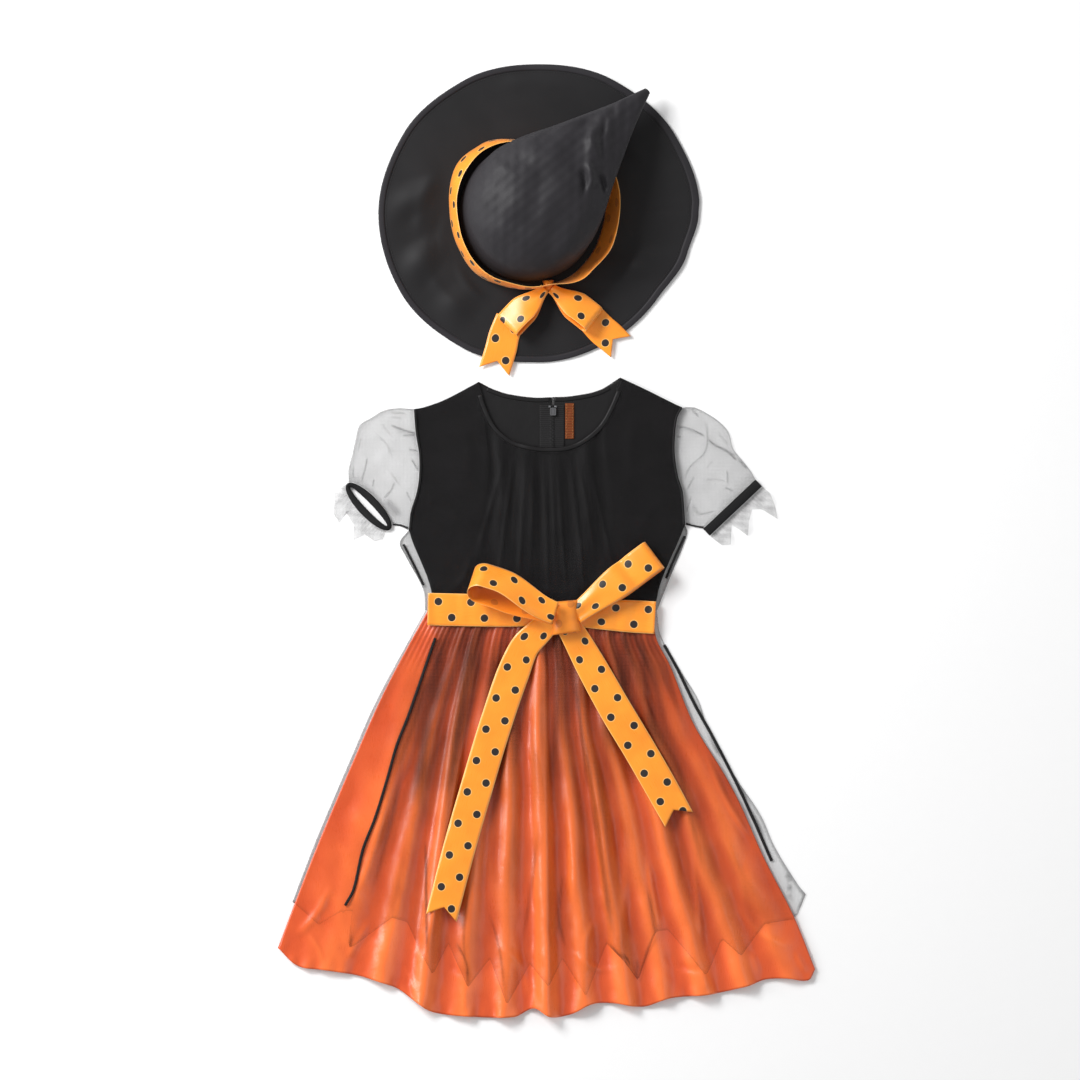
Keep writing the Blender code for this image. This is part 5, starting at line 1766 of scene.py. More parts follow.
    def _net_front(self, room: Workroom, satin: Patch) -> Surface:
        """Build the net front on the satin's own form."""
        u, share = grid(245, 178)
        depth = self._net_depth(u[0], satin)
        v = share * depth[None, :]
        place = satin.at(u, v)
        x, y = place[..., 0], place[..., 1]
        height, shade = creased(x, y, self.net_lines)
        curl = 0.5 + 0.5 * np.sin(2.0 * math.pi * 23.0 * u + 5.0 * np.sin(11.0 * u))
        lift = 0.95 + np.maximum(height, 0.0) + 0.25 * (1.0 + ripple(x, y, 24.0, 41))
        lift = lift + 1.8 * curl * ramp(share, 0.93, 1.0)
        seam = np.interp(-y, [-row[1] for row in self.overlock_left], [row[0] for row in self.overlock_left])
        inside = ramp(x - seam, -6.0, 3.0)
        strands = np.clip(0.5 + 0.7 * ripple(u * 900.0, v * 60.0, 30.0, 42), 0.0, 1.0)
        broad = np.clip(0.5 + 0.6 * ripple(u * 900.0, v * 40.0, 130.0, 43), 0.0, 1.0)
        gather = (0.20 * strands**2 + 0.22 * broad) * (1.0 - 0.72 * ramp(v, 0.15, 0.8))
        top = 0.20 * (1.0 - ramp(v, 0.0, 0.55))
        cover = (0.045 + top + gather) * mix(0.22, 1.0, inside)
        hem = 0.16 * ramp(share, 0.99, 1.0)
        cover = 1.0 - (1.0 - cover) * (1.0 - shade) * (1.0 - hem)
        surface = laid(place, self._height(u, v, place) + lift, cover)
        room.cloth(
            "overskirt_front", surface, Slot.OVERSKIRT_NET, [room.finishes.overskirt_net], (0.68, 0.46),
            "gathered", ["skirt_front"], area=0.215, thick=0.35,
        )
        return surface

    def _overlocks(self, room: Workroom, surfaces: dict[str, Surface]) -> None:
        """Sew the overlocked side seams."""
        ground = Ground(surfaces["overskirt_front"], surfaces["skirt_front"], surfaces["overskirt_back"])
        Overlock("overlock_skirt_left", self.overlock_left).make(room, ground, ["overskirt_front"])
        Overlock("overlock_skirt_right", self.overlock_right).make(room, ground, ["overskirt_back"])


@dataclass
class Overlock:
    """An overlocked seam: a narrow trim wound with thread."""

    name: str
    bends: Sequence[Row]
    pitch: float = 2.3
    nodes: Sequence[str] | None = None
    shown: float = 0.62

    def make(self, room: Workroom, ground: Ground, rests_on: Sequence[str]) -> None:
        """Build the trim and its thread.

        Args:
            room: Where pieces are dressed.
            ground: What the seam lies on.
            rests_on: The nodes that carry it.
        """
        route = Track(self.bends)
        rows = max(8, int(route.length / 2.0))
        s, share = grid(6, rows)
        at = route.at(share)
        ahead, behind = route.at(np.minimum(1.0, share + 0.01)), route.at(np.maximum(0.0, share - 0.01))
        run = ahead[..., :2] - behind[..., :2]
        run /= np.linalg.norm(run, axis=-1, keepdims=True)
        side = np.stack([run[..., 1], -run[..., 0]], axis=-1)
        at[..., 2] *= self.shown
        place = at[..., :2] + side * ((s - 0.5) * at[..., 2])[..., None]
        under = ground.heights(place[..., 0], place[..., 1]).max(axis=1)
        under = np.maximum(under, np.maximum(np.roll(under, 1), np.roll(under, -1)))
        roll = np.sqrt(np.clip(1.0 - (2.0 * s - 1.0) ** 4, 0.0, 1.0))
        height = under[:, None] + 0.4 + 0.6 * roll
        weave = np.stack([(s - 0.5) * at[..., 2] * MM, share * route.length * MM], axis=-1)
        surface = Surface(np.concatenate([place, height[..., None]], axis=-1), weave, flip=True)
        width = float(at[..., 2].max()) * MM
        room.cloth(
            self.name, surface, Slot.TRIM, [room.finishes.trim], (0.01, route.length * MM + 0.002), "folded",
            rests_on, area=max(0.0031, 1.08 * width) * (route.length * MM + 0.002),
            nodes=self.nodes, thick=0.4,
        )
        levels = {k: float(height[k].max()) for k in range(rows + 1)}

        def top(x: float, y: float) -> float:
            """Height of the trim nearest to a place."""
            nearest = int(np.argmin(np.hypot(place[:, 3, 0] - x, place[:, 3, 1] - y)))
            return levels[nearest] + 0.15

        master = thread_stitch(width / MM * 1.08, 0.28)
        places = stitches_along(route, self.pitch, math.pi / 2 + 0.25, top)
        name = f"thread_{self.name}"
        room.piece(name, repeated(name, master, places), Slot.TRIM, [], [room.finishes.thread])


@dataclass
class Sleeve:
    """A sheer puff sleeve with its elastic cuff, jagged frill and armhole seam."""

    side: Side
    armhole: Sequence[Row]
    top: Sequence[Row]
    creases: Sequence[Crease]
    frill_outer: Sequence[Row]
    underarm: Sequence[Row]
    puff: float = 6.5
    edge_height: float = 3.2
    away: float = 0.9

    def cuff_edge(self) -> Track:
        """Where the sleeve meets its cuff, from the top to the underarm."""
        raise NotImplementedError

    def cuff(self, room: Workroom) -> None:
        """Build the elastic cuff."""
        raise NotImplementedError

    def frill_inner(self) -> Track:
        """Where the frill leaves the cuff."""
        raise NotImplementedError

    def make(self, room: Workroom, bodice: dict[str, Surface]) -> None:
        """Build the sleeve.

        Args:
            room: Where pieces are dressed.
            bodice: The bodice's surfaces.
        """
        self._tube(room)
        self.cuff(room)
        self._frill(room)
        ground = Ground(bodice["bodice_overlay_front"])
        sign = -1.0 if self.side is Side.LEFT else 1.0
        seam = [(x - sign * 1.0, y, 4.0) for x, y in self.armhole]
        Overlock(f"overlock_armhole_{self.side.value}", seam, 2.2, nodes=[]).make(
            room, ground, ["bodice_overlay_front"]
        )
        Overlock(f"underarm_binding_{self.side.value}", self.underarm, 2.2, nodes=[]).make(
            room, Ground(bodice["bodice_overlay_front"]), ["bodice_overlay_front"]
        )

    def _patch(self) -> Patch:
        """The sleeve laid flat: u runs to the cuff and v down to the underarm."""
        sign = -1.0 if self.side is Side.LEFT else 1.0
        armhole = Track([(x + sign * self.away, y) for x, y in self.armhole])
        cuff = self.cuff_edge()
        start, stop = tuple(cuff.at(0.0)[:2]), tuple(cuff.at(1.0)[:2])
        shoulder = Track([tuple(armhole.at(0.0)), *self.top, start])
        return Patch(shoulder, Track([tuple(armhole.at(1.0)), stop]), armhole, cuff)

    def _tube(self, room: Workroom) -> None:
        """Build the sheer puff, upper and lower side in one."""
        patch = self._patch()
        u, v = grid(92, 96)
        u, v = u.T, v.T
        place = patch.at(u, v)
        x, y = place[..., 0], place[..., 1]
        fine = [
            replace(crease, width=crease.width * 0.72, shade=crease.shade * 0.8) for crease in self.creases
        ]
        fold, shade = creased(x, y, fine)
        swell = np.sqrt(np.clip(np.sin(math.pi * v), 0.0, 1.0)) * np.sin(math.pi * (0.1 + 0.8 * u))
        soft = 0.5 * ripple(x, y, 17.0, 51) + 0.3 * ripple(x, y, 9.0, 52)
        upper = self.edge_height * ramp(v, -0.05, 0.05) * ramp(1.0 - v, -0.05, 0.05)
        upper = upper + self.puff * swell + (fold + soft) * np.minimum(1.0, swell * 1.5)
        lower = 0.45 + 0.3 * (1.0 + ripple(x, y, 20.0, 53)) * swell
        upper = np.maximum(upper, lower + 0.9)
        edge = 0.26 * (1.0 - ramp(np.minimum(v, 1.0 - v), 0.0, 0.014))
        ends = 0.12 * (1.0 - ramp(u, 0.0, 0.06)) + 0.22 * ramp(u, 0.86, 1.0)
        cloud = 0.028 * ripple(x, y, 15.0, 54)
        top_cover = 1.0 - (1.0 - 0.14 - cloud) * (1.0 - shade) * (1.0 - edge) * (1.0 - ends)
        low_cover = 1.0 - (1.0 - 0.14 + cloud) * (1.0 - 0.35 * shade) * (1.0 - edge)
        points = np.concatenate([
            np.concatenate([place, upper[..., None]], axis=-1),
            np.concatenate([place, lower[..., None]], axis=-1)[:, ::-1],
        ], axis=1)
        cover = np.concatenate([top_cover, low_cover[:, ::-1]], axis=1)
        girth = np.concatenate([y, 2.0 * y.min() - y[:, ::-1]], axis=1)
        girth = np.concatenate([girth, girth[:, -1:] - 1.0], axis=1)
        run = np.concatenate([x, x[:, ::-1], x[:, :1]], axis=1)
        weave = np.stack([run, girth], axis=-1) * MM
        surface = Surface(points, weave, cover, ring=True, flip=self.side is Side.RIGHT)
        name = f"sleeve_{self.side.value}"
        room.cloth(
            name, surface, Slot.SLEEVE_NET, [room.finishes.sleeve_net], (0.30, 0.11), "gathered",
            [], area=0.0215, thick=0.3,
        )

    def _frill(self, room: Workroom) -> None:
        """Build the jagged frill beyond the cuff."""
        inner = self.frill_inner()
        outer = Track(self.frill_outer, smooth=False)
        u, v = grid(150, 14)
        near, far = inner.at(u)[..., :2], outer.at(u)[..., :2]
        place = mix(near, far, v[..., None])
        flutter = 1.0 + np.sin(u * 31.0 + 1.5 * np.sin(9.0 * u))
        height = 0.5 + 2.0 * v * flutter + 0.3 * v * ripple(place[..., 0], place[..., 1], 9.0, 61)
        pleat = 0.10 * (0.5 + 0.5 * np.sin(u * 150.0 + 4.0 * np.sin(13.0 * u))) * (1.0 - ramp(v, 0.0, 0.8))
        edge = 0.10 * ramp(v, 0.93, 1.0)
        cover = 0.25 + pleat + edge + 0.06 * ripple(place[..., 0], place[..., 1], 12.0, 62)
        surface = laid(place, height, np.clip(cover, 0.05, 0.9), flip=self.side is Side.RIGHT)
        name = f"cuff_frill_{self.side.value}"
        area = self._area(surface)
        room.cloth(
            name, surface, Slot.SLEEVE_NET, [room.finishes.sleeve_net], (0.12, 0.034), "gathered",
            [], area=max(0.3 * 0.12 * 0.034, min(area * 1.1, 0.12 * 0.034)), thick=0.3,
        )

    def _area(self, surface: Surface) -> float:
        """A surface's area in square metres."""
        corners = surface.points.reshape(-1, 3)[surface.quads()] * MM
        cross = np.cross(corners[:, 2] - corners[:, 0], corners[:, 3] - corners[:, 1])
        return float(np.linalg.norm(cross, axis=1).sum() / 2.0)


@dataclass
class OpenCuffSleeve(Sleeve):
    """The left sleeve, whose cuff is turned to show its opening."""

    centre: Row = (-209.5, 40.5)
    turn: float = math.radians(-46.3)
    half: Row = (37.0, 12.5)
    slot_half: Row = (31.0, 3.6)

    def _oval(self, angle: Array, half: Row, grow: float = 0.0) -> Array:
        """Points of an oval round the cuff's middle."""
        x, y = (half[0] + grow) * np.cos(angle), (half[1] + grow) * np.sin(angle)
        cos, sin = math.cos(self.turn), math.sin(self.turn)
        return np.stack([self.centre[0] + x * cos - y * sin, self.centre[1] + x * sin + y * cos], axis=-1)

    def cuff_edge(self) -> Track:
        """Where the sleeve meets its cuff."""
        angles = np.radians(np.linspace(168.0, 32.0, 24))
        return Track([tuple(point) for point in self._oval(angles, self.half, 0.5)])

    def frill_inner(self) -> Track:
        """Where the frill leaves the cuff."""
        angles = np.radians(np.linspace(186.0, 338.0, 24))
        return Track([tuple(point) for point in self._oval(angles, self.half, 0.5)])

    def cuff(self, room: Workroom) -> None:
        """Build the elastic ring round its open slot."""
        around, section = 260, 20
        angle = np.linspace(0.0, FULL_CIRCLE, around, endpoint=False)[None, :]
        phi = np.linspace(0.0, FULL_CIRCLE, section, endpoint=False)[:, None]
        rib = 0.28 * np.sin(74.0 * angle) * np.clip(np.sin(phi), 0.0, 1.0)
        share = 0.5 + 0.5 * np.cos(phi)
        outer, inner = self._oval(angle, self.half), self._oval(angle, self.slot_half)
        place = mix(inner, outer, share[..., None])
        height = 2.6 + 2.2 * np.sign(np.sin(phi)) * np.abs(np.sin(phi)) ** 0.6 + rib
        along = np.linspace(0.0, 1.0, around + 1) * 0.17
        weave = np.stack(np.broadcast_arrays(phi * 0.003, along[None, :]), axis=-1)
        weave = np.concatenate([weave, weave[-1:]], axis=0)
        points = np.concatenate([place, np.broadcast_to(height, place.shape[:2])[..., None]], axis=-1)
        surface = Surface(points, weave, ring=True, tube=True)
        mesh = surface.mesh("cuff_left")
        room.piece("cuff_left", mesh, Slot.CUFF, ["cuff_left"], [room.finishes.elastic])


@dataclass
class FlatCuffSleeve(Sleeve):
    """The right sleeve, whose cuff lies flat."""

    sleeve_side: Sequence[Row] = ((244.8, 72.4), (183.4, 14.4))
    frill_side: Sequence[Row] = ((252.6, 64.2), (191.2, 6.2))

    def cuff_edge(self) -> Track:
        """Where the sleeve meets its cuff."""
        return Track([(x - 0.3, y + 0.3) for x, y in self.sleeve_side])

    def frill_inner(self) -> Track:
        """Where the frill leaves the cuff."""
        return Track([(253.4, 63.6), (191.9, 5.6)])

    def cuff(self, room: Workroom) -> None:
        """Build the flattened elastic band."""
        along, section = 190, 22
        v = np.linspace(0.0, 1.0, along)[None, :]
        phi = np.linspace(0.0, FULL_CIRCLE, section, endpoint=False)[:, None]
        near, far = Track(self.sleeve_side).at(v)[..., :2], Track(self.frill_side).at(v)[..., :2]
        share = 0.5 + 0.5 * np.cos(phi)
        place = mix(near, far, share[..., None])
        ends = ramp(np.minimum(v, 1.0 - v), -0.02, 0.03)
        rib = 0.25 * np.sin(2.0 * math.pi * 48.0 * v) * np.clip(np.sin(phi), 0.0, 1.0)
        height = 2.2 + (1.9 * ends) * np.sign(np.sin(phi)) * np.abs(np.sin(phi)) ** 0.6 + rib * ends
        weave = np.stack(np.broadcast_arrays(phi * 0.003, v * 0.085), axis=-1)
        weave = np.concatenate([weave, weave[-1:]], axis=0)
        points = np.concatenate([place, height[..., None]], axis=-1)
        surface = Surface(points, weave, tube=True, flip=True)
        mesh = surface.mesh("cuff_right")
        room.piece("cuff_right", mesh, Slot.CUFF, ["cuff_right"], [room.finishes.elastic])


@dataclass
class Sash:
    """The dotted belt with its bow over the waist seam."""

    def make(self, room: Workroom, dress: dict[str, Surface]) -> None:
        """Build the sash.

        Args:
            room: Where pieces are dressed.
            dress: The surfaces it lies on.
        """
        base = (dress["bodice_overlay_front"], dress["overskirt_front"], dress["skirt_front"])
        ground = Ground(*base)
        under = ["bodice_overlay_front", "overskirt_front"]
        left = Ribbon(
            "belt_left", ((-140, -80, 38), (-95, -81, 38), (-45, -82, 37), (6, -83.5, 31)), phase=0.026
        ).make(room, ground, "laid", under)
        right = Ribbon(
            "belt_right", ((34, -85, 31), (75, -87, 36), (100, -88.5, 38), (127, -90, 38)), phase=0.008,
            flip_rows=True,
        ).make(room, ground, "laid", under)
        Ribbon(
            "belt_back", ((-139, -83, 38), (-50, -84, 38), (50, -86, 38), (126, -88, 38)), gap=0.45,
            ripple_height=0.0,
        ).make(room, Ground(), "laid", [])
        belted = Ground(*base, left, right)
        over = ["belt_left", "belt_right", "overskirt_front"]
        BowLoop("sash_loop_right", (33, -87), (127, -17), 24, 38, 15.0, -4.0, -8.0, 0.012, dip=5.0).make(
            room, belted, over
        )
        BowLoop("sash_loop_left", (9, -87), (-92, -55), 26, 38, 29.0, 8.0, 44.0, 0.02).make(
            room, belted, over
        )
        Ribbon(
            "sash_tail_left",
            ((4, -94, 27), (-10, -107, 31), (-26, -124, 34), (-40, -156, 38), (-54, -196, 38),
             (-68, -240, 38), (-81, -284, 38),
             (-102, -357, 38), (-124, -442, 37)),
            notch=13.0, phase=0.0205,
        ).make(room, belted, "hung", over)
        Ribbon(
            "sash_tail_right",
            ((20, -92, 27), (32, -111, 31), (53, -149, 36), (81, -199, 38), (107.5, -243, 38),
             (134, -289, 38), (155, -327, 37)),
            notch=13.0, phase=0.004,
        ).make(room, belted, "hung", over)
        Knot("sash_knot", ((0.2, -72.0), (37.5, -69.0), (41.3, -106.0), (6.0, -110.5)), 15.0).make(
            room, belted, over
        )


@dataclass
class Hat:
    """The witch's hat: brim with its edge band, floppy crown, loose ribbon and bow."""

    centre: Row = (-22.3, 385.4)
    brim_centre: Row = (-9.0, 385.0)
    brim_thick: float = 2.0
    head_radius: float = 79.0
    lean: float = math.radians(45.5)
    rays: Sequence[Row] = (
        (-15, 180), (0, 187), (5, 188.5), (30, 184), (60, 179), (90, 175), (120, 179.5), (150, 185),
        (180, 189),
        (210, 187.5), (240, 182), (270, 175), (300, 171.5), (325, 171), (345, 180), (360, 187), (365, 188.5),
    )
    waves: Sequence[Row] = ((168, 178, 4.0), (200, 205, 5.0), (232, 228, 3.0), (330, 338, 3.0))
    rings: Sequence[Row] = (
        (0, 2.3, 81, 81, 0), (2, 18, 80.5, 80, 4), (8, 36, 79, 72, 14), (26, 49, 77, 54, 32),
        (58, 54, 66, 34, 55), (93, 50, 49, 20, 74), (128, 43, 33, 13, 88), (162, 34, 18, 8, 97),
        (200, 24, 4, 3, 100),
    )
    band: Sequence[Row] = (
        (-20, 88, 107, 33), (0, 90, 107, 33), (30, 90, 112, 28), (60, 88, 98, 25), (95, 86, 84, 28),
        (125, 98, 90, 32), (145, 101, 87, 35), (180, 92, 83.5, 37), (205, 91, 83, 37), (225, 94, 85, 37),
        (250, 91, 86.5, 37), (285, 88, 88.5, 37.5), (315, 89, 102, 35), (340, 88, 107, 33),
        (360, 90, 107, 33),
    )
    brim_creases: Sequence[Crease] = (
        Crease(((100, 390), (133, 388), (166, 387)), 1.4, -0.7, fade=0.08),
        Crease(((-128, 440), (-146, 400), (-150, 350)), 9.0, 1.6),
        Crease(((-120, 400), (-132, 360), (-128, 320)), 7.0, -0.7),
        Crease(((-150, 330), (-120, 290), (-90, 262)), 8.0, 1.5),
        Crease(((-110, 330), (-92, 300), (-66, 276)), 6.0, 1.2),
        Crease(((60, 300), (96, 310), (120, 340)), 9.0, 1.2),
        Crease(((70, 480), (100, 462), (126, 430)), 9.0, 1.2),
        Crease(((-70, 530), (-20, 540), (40, 532)), 10.0, 1.0),
    )
    crown_creases: Sequence[Crease] = (
        Crease(((79, 521), (76, 505), (81, 492)), 4.0, -2.6),
        Crease(((60, 490), (52, 476), (56, 458)), 4.5, 2.2),
        Crease(((70, 500), (64, 470), (66, 440)), 3.6, -2.2),
        Crease(((58, 432), (66, 420), (68, 404)), 3.2, -4.5),
        Crease(((46, 448), (52, 430), (54, 408)), 3.4, 3.6),
        Crease(((40, 440), (44, 420), (42, 400)), 3.0, -3.2),
        Crease(((40, 322), (30, 316), (20, 312)), 5.0, 1.6),
        Crease(((58, 350), (40, 330), (10, 322)), 7.0, -1.6),
        Crease(((-74, 350), (-60, 330), (-40, 318)), 6.0, 1.2),
        Crease(((-20, 500), (30, 512), (70, 524)), 5.0, 1.2),
        Crease(((0, 480), (40, 486), (74, 500)), 7.0, -1.2),
        Crease(((-80, 430), (-60, 460), (-30, 480)), 9.0, 1.2),
        Crease(((-50, 400), (-10, 420), (30, 440)), 16.0, -1.8),
    )

    def make(self, room: Workroom) -> None:
        """Build the hat."""
        brim = self._brim(room)
        self._crown(room)
        self._band(room)
        self._bow(room, brim)

    def _brim_radius(self, degrees: Array) -> Array:
        """The brim's radius at an angle, each stretch eased from one ray to the next."""
        rays = np.array(self.rays, float)
        k = np.clip(np.searchsorted(rays[:, 0], degrees, side="right") - 1, 0, len(rays) - 2)
        share = (degrees - rays[k, 0]) / (rays[k + 1, 0] - rays[k, 0])
        return mix(rays[k, 1], rays[k + 1, 1], share * share * (3.0 - 2.0 * share))

    def _brim_surface(self, shares: Array, around: int, lift: float) -> Surface:
        """The brim's upper surface between two shares of its width."""
        degrees = np.linspace(0.0, 360.0, around, endpoint=False)[None, :] + 0.0 * shares[:, None]
        share = shares[:, None] + 0.0 * degrees
        angle = np.radians(degrees)
        ring = np.stack([np.cos(angle), np.sin(angle)], axis=-1)
        inner = np.array(self.centre) + ring * self.head_radius
        outer = np.array(self.brim_centre) + ring * self._brim_radius(degrees)[..., None]
        place = mix(inner, outer, share[..., None])
        height = np.full(degrees.shape, self.brim_thick)
        for at_hem, at_edge, rise in self.waves:
            turn = np.abs(degrees - mix(at_hem, at_edge, ramp(share, 0.2, 1.0))) / 11.0
            reach = np.sin(math.pi * ramp(share, 0.2, 1.0))
            height = height + np.where(turn < 1.0, rise * 0.5 * (1.0 + np.cos(math.pi * turn)) * reach, 0.0)
        fold, _ = creased(place[..., 0], place[..., 1], self.brim_creases)
        soft = 0.35 * ripple(place[..., 0], place[..., 1], 60.0, 71) * ramp(share, 0.1, 0.4)
        height = height + np.maximum(fold + soft, -0.9) * ramp(share, 0.0, 0.15) + lift
        along = np.linspace(0.0, 1.14, around + 1)
        weave = np.stack(np.broadcast_arrays(share[:, :1] * 0.11, along[None, :]), axis=-1)
        return Surface(np.concatenate([place, height[..., None]], axis=-1), weave, ring=True)

    def _brim(self, room: Workroom) -> Ground:
        """Build the brim, the stitched band along its edge and the stitches beside it."""
        surface = self._brim_surface(np.linspace(0.0, 1.0, 66), 300, 0.0)
        room.cloth(
            "hat_brim", surface, Slot.HAT, [room.finishes.hat_brim], (0.374, 0.352), "laid", [],
            area=0.082, thick=1.8, offset=-1.0,
        )
        edge = self._brim_surface(np.array([0.93, 0.935, 0.95, 0.97, 0.985, 0.995, 1.0]), 300, 0.0)
        profile = np.array([0.1, 0.75, 0.95, 1.0, 0.95, 0.8, 0.2])[:, None]
        edge.points[..., 2] += profile * 0.9 + 0.25
        room.cloth(
            "hat_brim_band", edge, Slot.HAT, [room.finishes.hat_crown], (0.018, 1.13), "folded",
            ["hat_brim"], area=0.0092, thick=0.4,
        )
        line = self._brim_surface(np.array([0.905, 0.912]), 300, 0.0)
        seam = Track([tuple(point) for point in line.points[0, :, :2]] + [tuple(line.points[0, 0, :2])])
        ground = Ground(surface)
        places = stitches_along(seam, 3.2, 0.0, lambda x, y: ground.height(x, y) + 0.1, 0.05)
        mesh = repeated("hat_edge_stitches", thread_stitch(2.4, 0.26), places)
        room.piece("hat_edge_stitches", mesh, Slot.HAT, [], [room.finishes.thread])
        return Ground(surface, edge)

    def _crown(self, room: Workroom) -> None:
        """Build the soft cone that flops towards its tip."""
        rows = np.array(self.rings, float)
        fine = np.linspace(0.0, len(rows) - 1.0, 96)
        slopes = np.gradient(rows, axis=0)
        i = np.clip(fine.astype(int), 0, len(rows) - 2)
        t = (fine - i)[:, None]
        blend = rows[i] + (rows[i + 1] - rows[i]) * t * t * (3.0 - 2.0 * t)
        ring = blend + t * (1.0 - t) ** 2 * slopes[i] + t * t * (t - 1.0) * slopes[i + 1]
        along, lift, half_width, half_depth, pitch = ring.T
        around = 168
        angle = np.linspace(0.0, FULL_CIRCLE, around, endpoint=False)
        lean = np.array([math.cos(self.lean), math.sin(self.lean), 0.0])
        side = np.array([-lean[1], lean[0], 0.0])
        up = np.array([0.0, 0.0, 1.0])
        tilt = np.radians(pitch)[:, None]
        forward = lean * np.cos(tilt) - up * np.sin(tilt)
        centre = np.array([*self.centre, 0.0]) + up * lift[:, None] + lean * along[:, None]
        cos, sin = np.cos(angle)[None, :, None], np.sin(angle)[None, :, None]
        points = centre[:, None] + forward[:, None] * (half_depth[:, None, None] * cos)
        points = points + side * (half_width[:, None, None] * sin)
        x, y = points[..., 0], points[..., 1]
        facing = ramp(-cos[..., 0] * np.sin(tilt) + 0.35, 0.0, 0.5) * ramp(fine, 1.0, 3.0)[:, None]
        fold, _ = creased(x, y, self.crown_creases)
        soft = 1.5 * ripple(x, y, 42.0, 81) + 0.45 * ripple(x, y, 15.0, 82)
        points[..., 2] += (fold * 1.5 + soft * ramp(lift, 0.0, 30.0)[:, None]) * facing
        length = np.linspace(0.0, 0.3, len(fine))[:, None]
        weave = np.stack(np.broadcast_arrays(np.linspace(0.0, 0.5, around + 1)[None, :], length), axis=-1)
        surface = Surface(points, weave, ring=True, flip=True)
        mesh = surface.mesh("hat_crown")
        shape = bmesh.new()
        shape.from_mesh(mesh)
        shape.verts.ensure_lookup_table()
        last = (len(fine) - 1) * around
        tip = shape.faces.new([shape.verts[last + j] for j in reversed(range(around))])
        tip.smooth = True
        shape.to_mesh(mesh)
        shape.free()
        thing = room.piece("hat_crown", mesh, Slot.HAT, ["hat_crown"], [room.finishes.hat_crown], 1.2, -1.0)

    def _band(self, room: Workroom) -> None:
        """Build the ribbon that stands loosely round the crown."""
        rows = np.array(self.band, float)
        around, up_rows = 220, 12
        degrees = np.linspace(0.0, 360.0, around, endpoint=False)
        k = np.clip(np.searchsorted(rows[:, 0], degrees, side="right") - 1, 0, len(rows) - 2)
        share = (degrees - rows[k, 0]) / (rows[k + 1, 0] - rows[k, 0])
        share = (share * share * (3.0 - 2.0 * share))[:, None]
        foot, top, tall = (rows[k, 1:] + (rows[k + 1, 1:] - rows[k, 1:]) * share).T
        v = np.linspace(1.0, 0.0, up_rows + 1)[:, None]
        angle = np.radians(degrees)[None, :]
        wave = 0.8 * np.sin(5.0 * angle + 0.7) * v + 0.4 * np.sin(11.0 * angle)
        radius = mix(foot, top, v) + wave + 1.2 * np.sin(math.pi * v)
        height = self.brim_thick + 0.8 + tall * v
        x, y = self.centre[0] + radius * np.cos(angle), self.centre[1] + radius * np.sin(angle)
        points = np.stack([x, y, np.broadcast_to(height, x.shape)], axis=-1)
        girth = np.linspace(0.0, 2.0 * math.pi * 0.0915, around + 1)[None, :]
        weave = np.stack(np.broadcast_arrays((v - 0.5) * RIBBON_WIDTH, girth + 0.006), axis=-1)
        surface = Surface(points, weave, ring=True, flip=False)
        room.cloth(
            "hat_band", surface, Slot.RIBBON, [room.finishes.ribbon, room.finishes.ribbon_reverse],
            (RIBBON_WIDTH, 0.60), "draped", ["hat_brim"], thick=0.45,
        )

    def _bow(self, room: Workroom, ground: Ground) -> None:
        """Build the hat's bow on the brim."""
        on_brim = ["hat_brim"]
        Ribbon(
            "hat_tail_left", ((-43, 262, 34), (-50.5, 241, 36), (-54, 226, 37), (-62, 199, 37)), notch=13.0,
            phase=0.027,
        ).make(room, ground, "laid", on_brim)
        Ribbon(
            "hat_tail_right", ((46, 268, 34), (63.5, 249, 36), (74, 240, 36), (87, 228, 34)), notch=13.0,
            phase=0.014,
        ).make(room, ground, "laid", on_brim)
        BowLoop("hat_loop_left", (-2, 296), (-45, 250), 12, 34, 11.0, 4.0, 22.0, 0.006, gather=0.8).make(
            room, ground, on_brim
        )
        BowLoop("hat_loop_right", (5, 296), (54, 257), 12, 34, 12.0, -4.0, -20.0, 0.03, gather=0.8).make(
            room, ground, on_brim
        )
        Knot("hat_knot", ((-5.0, 306.0), (8.0, 306.5), (9.0, 294.0), (-5.0, 293.0)), 14.0, 0.1).make(
            room, ground, on_brim
        )


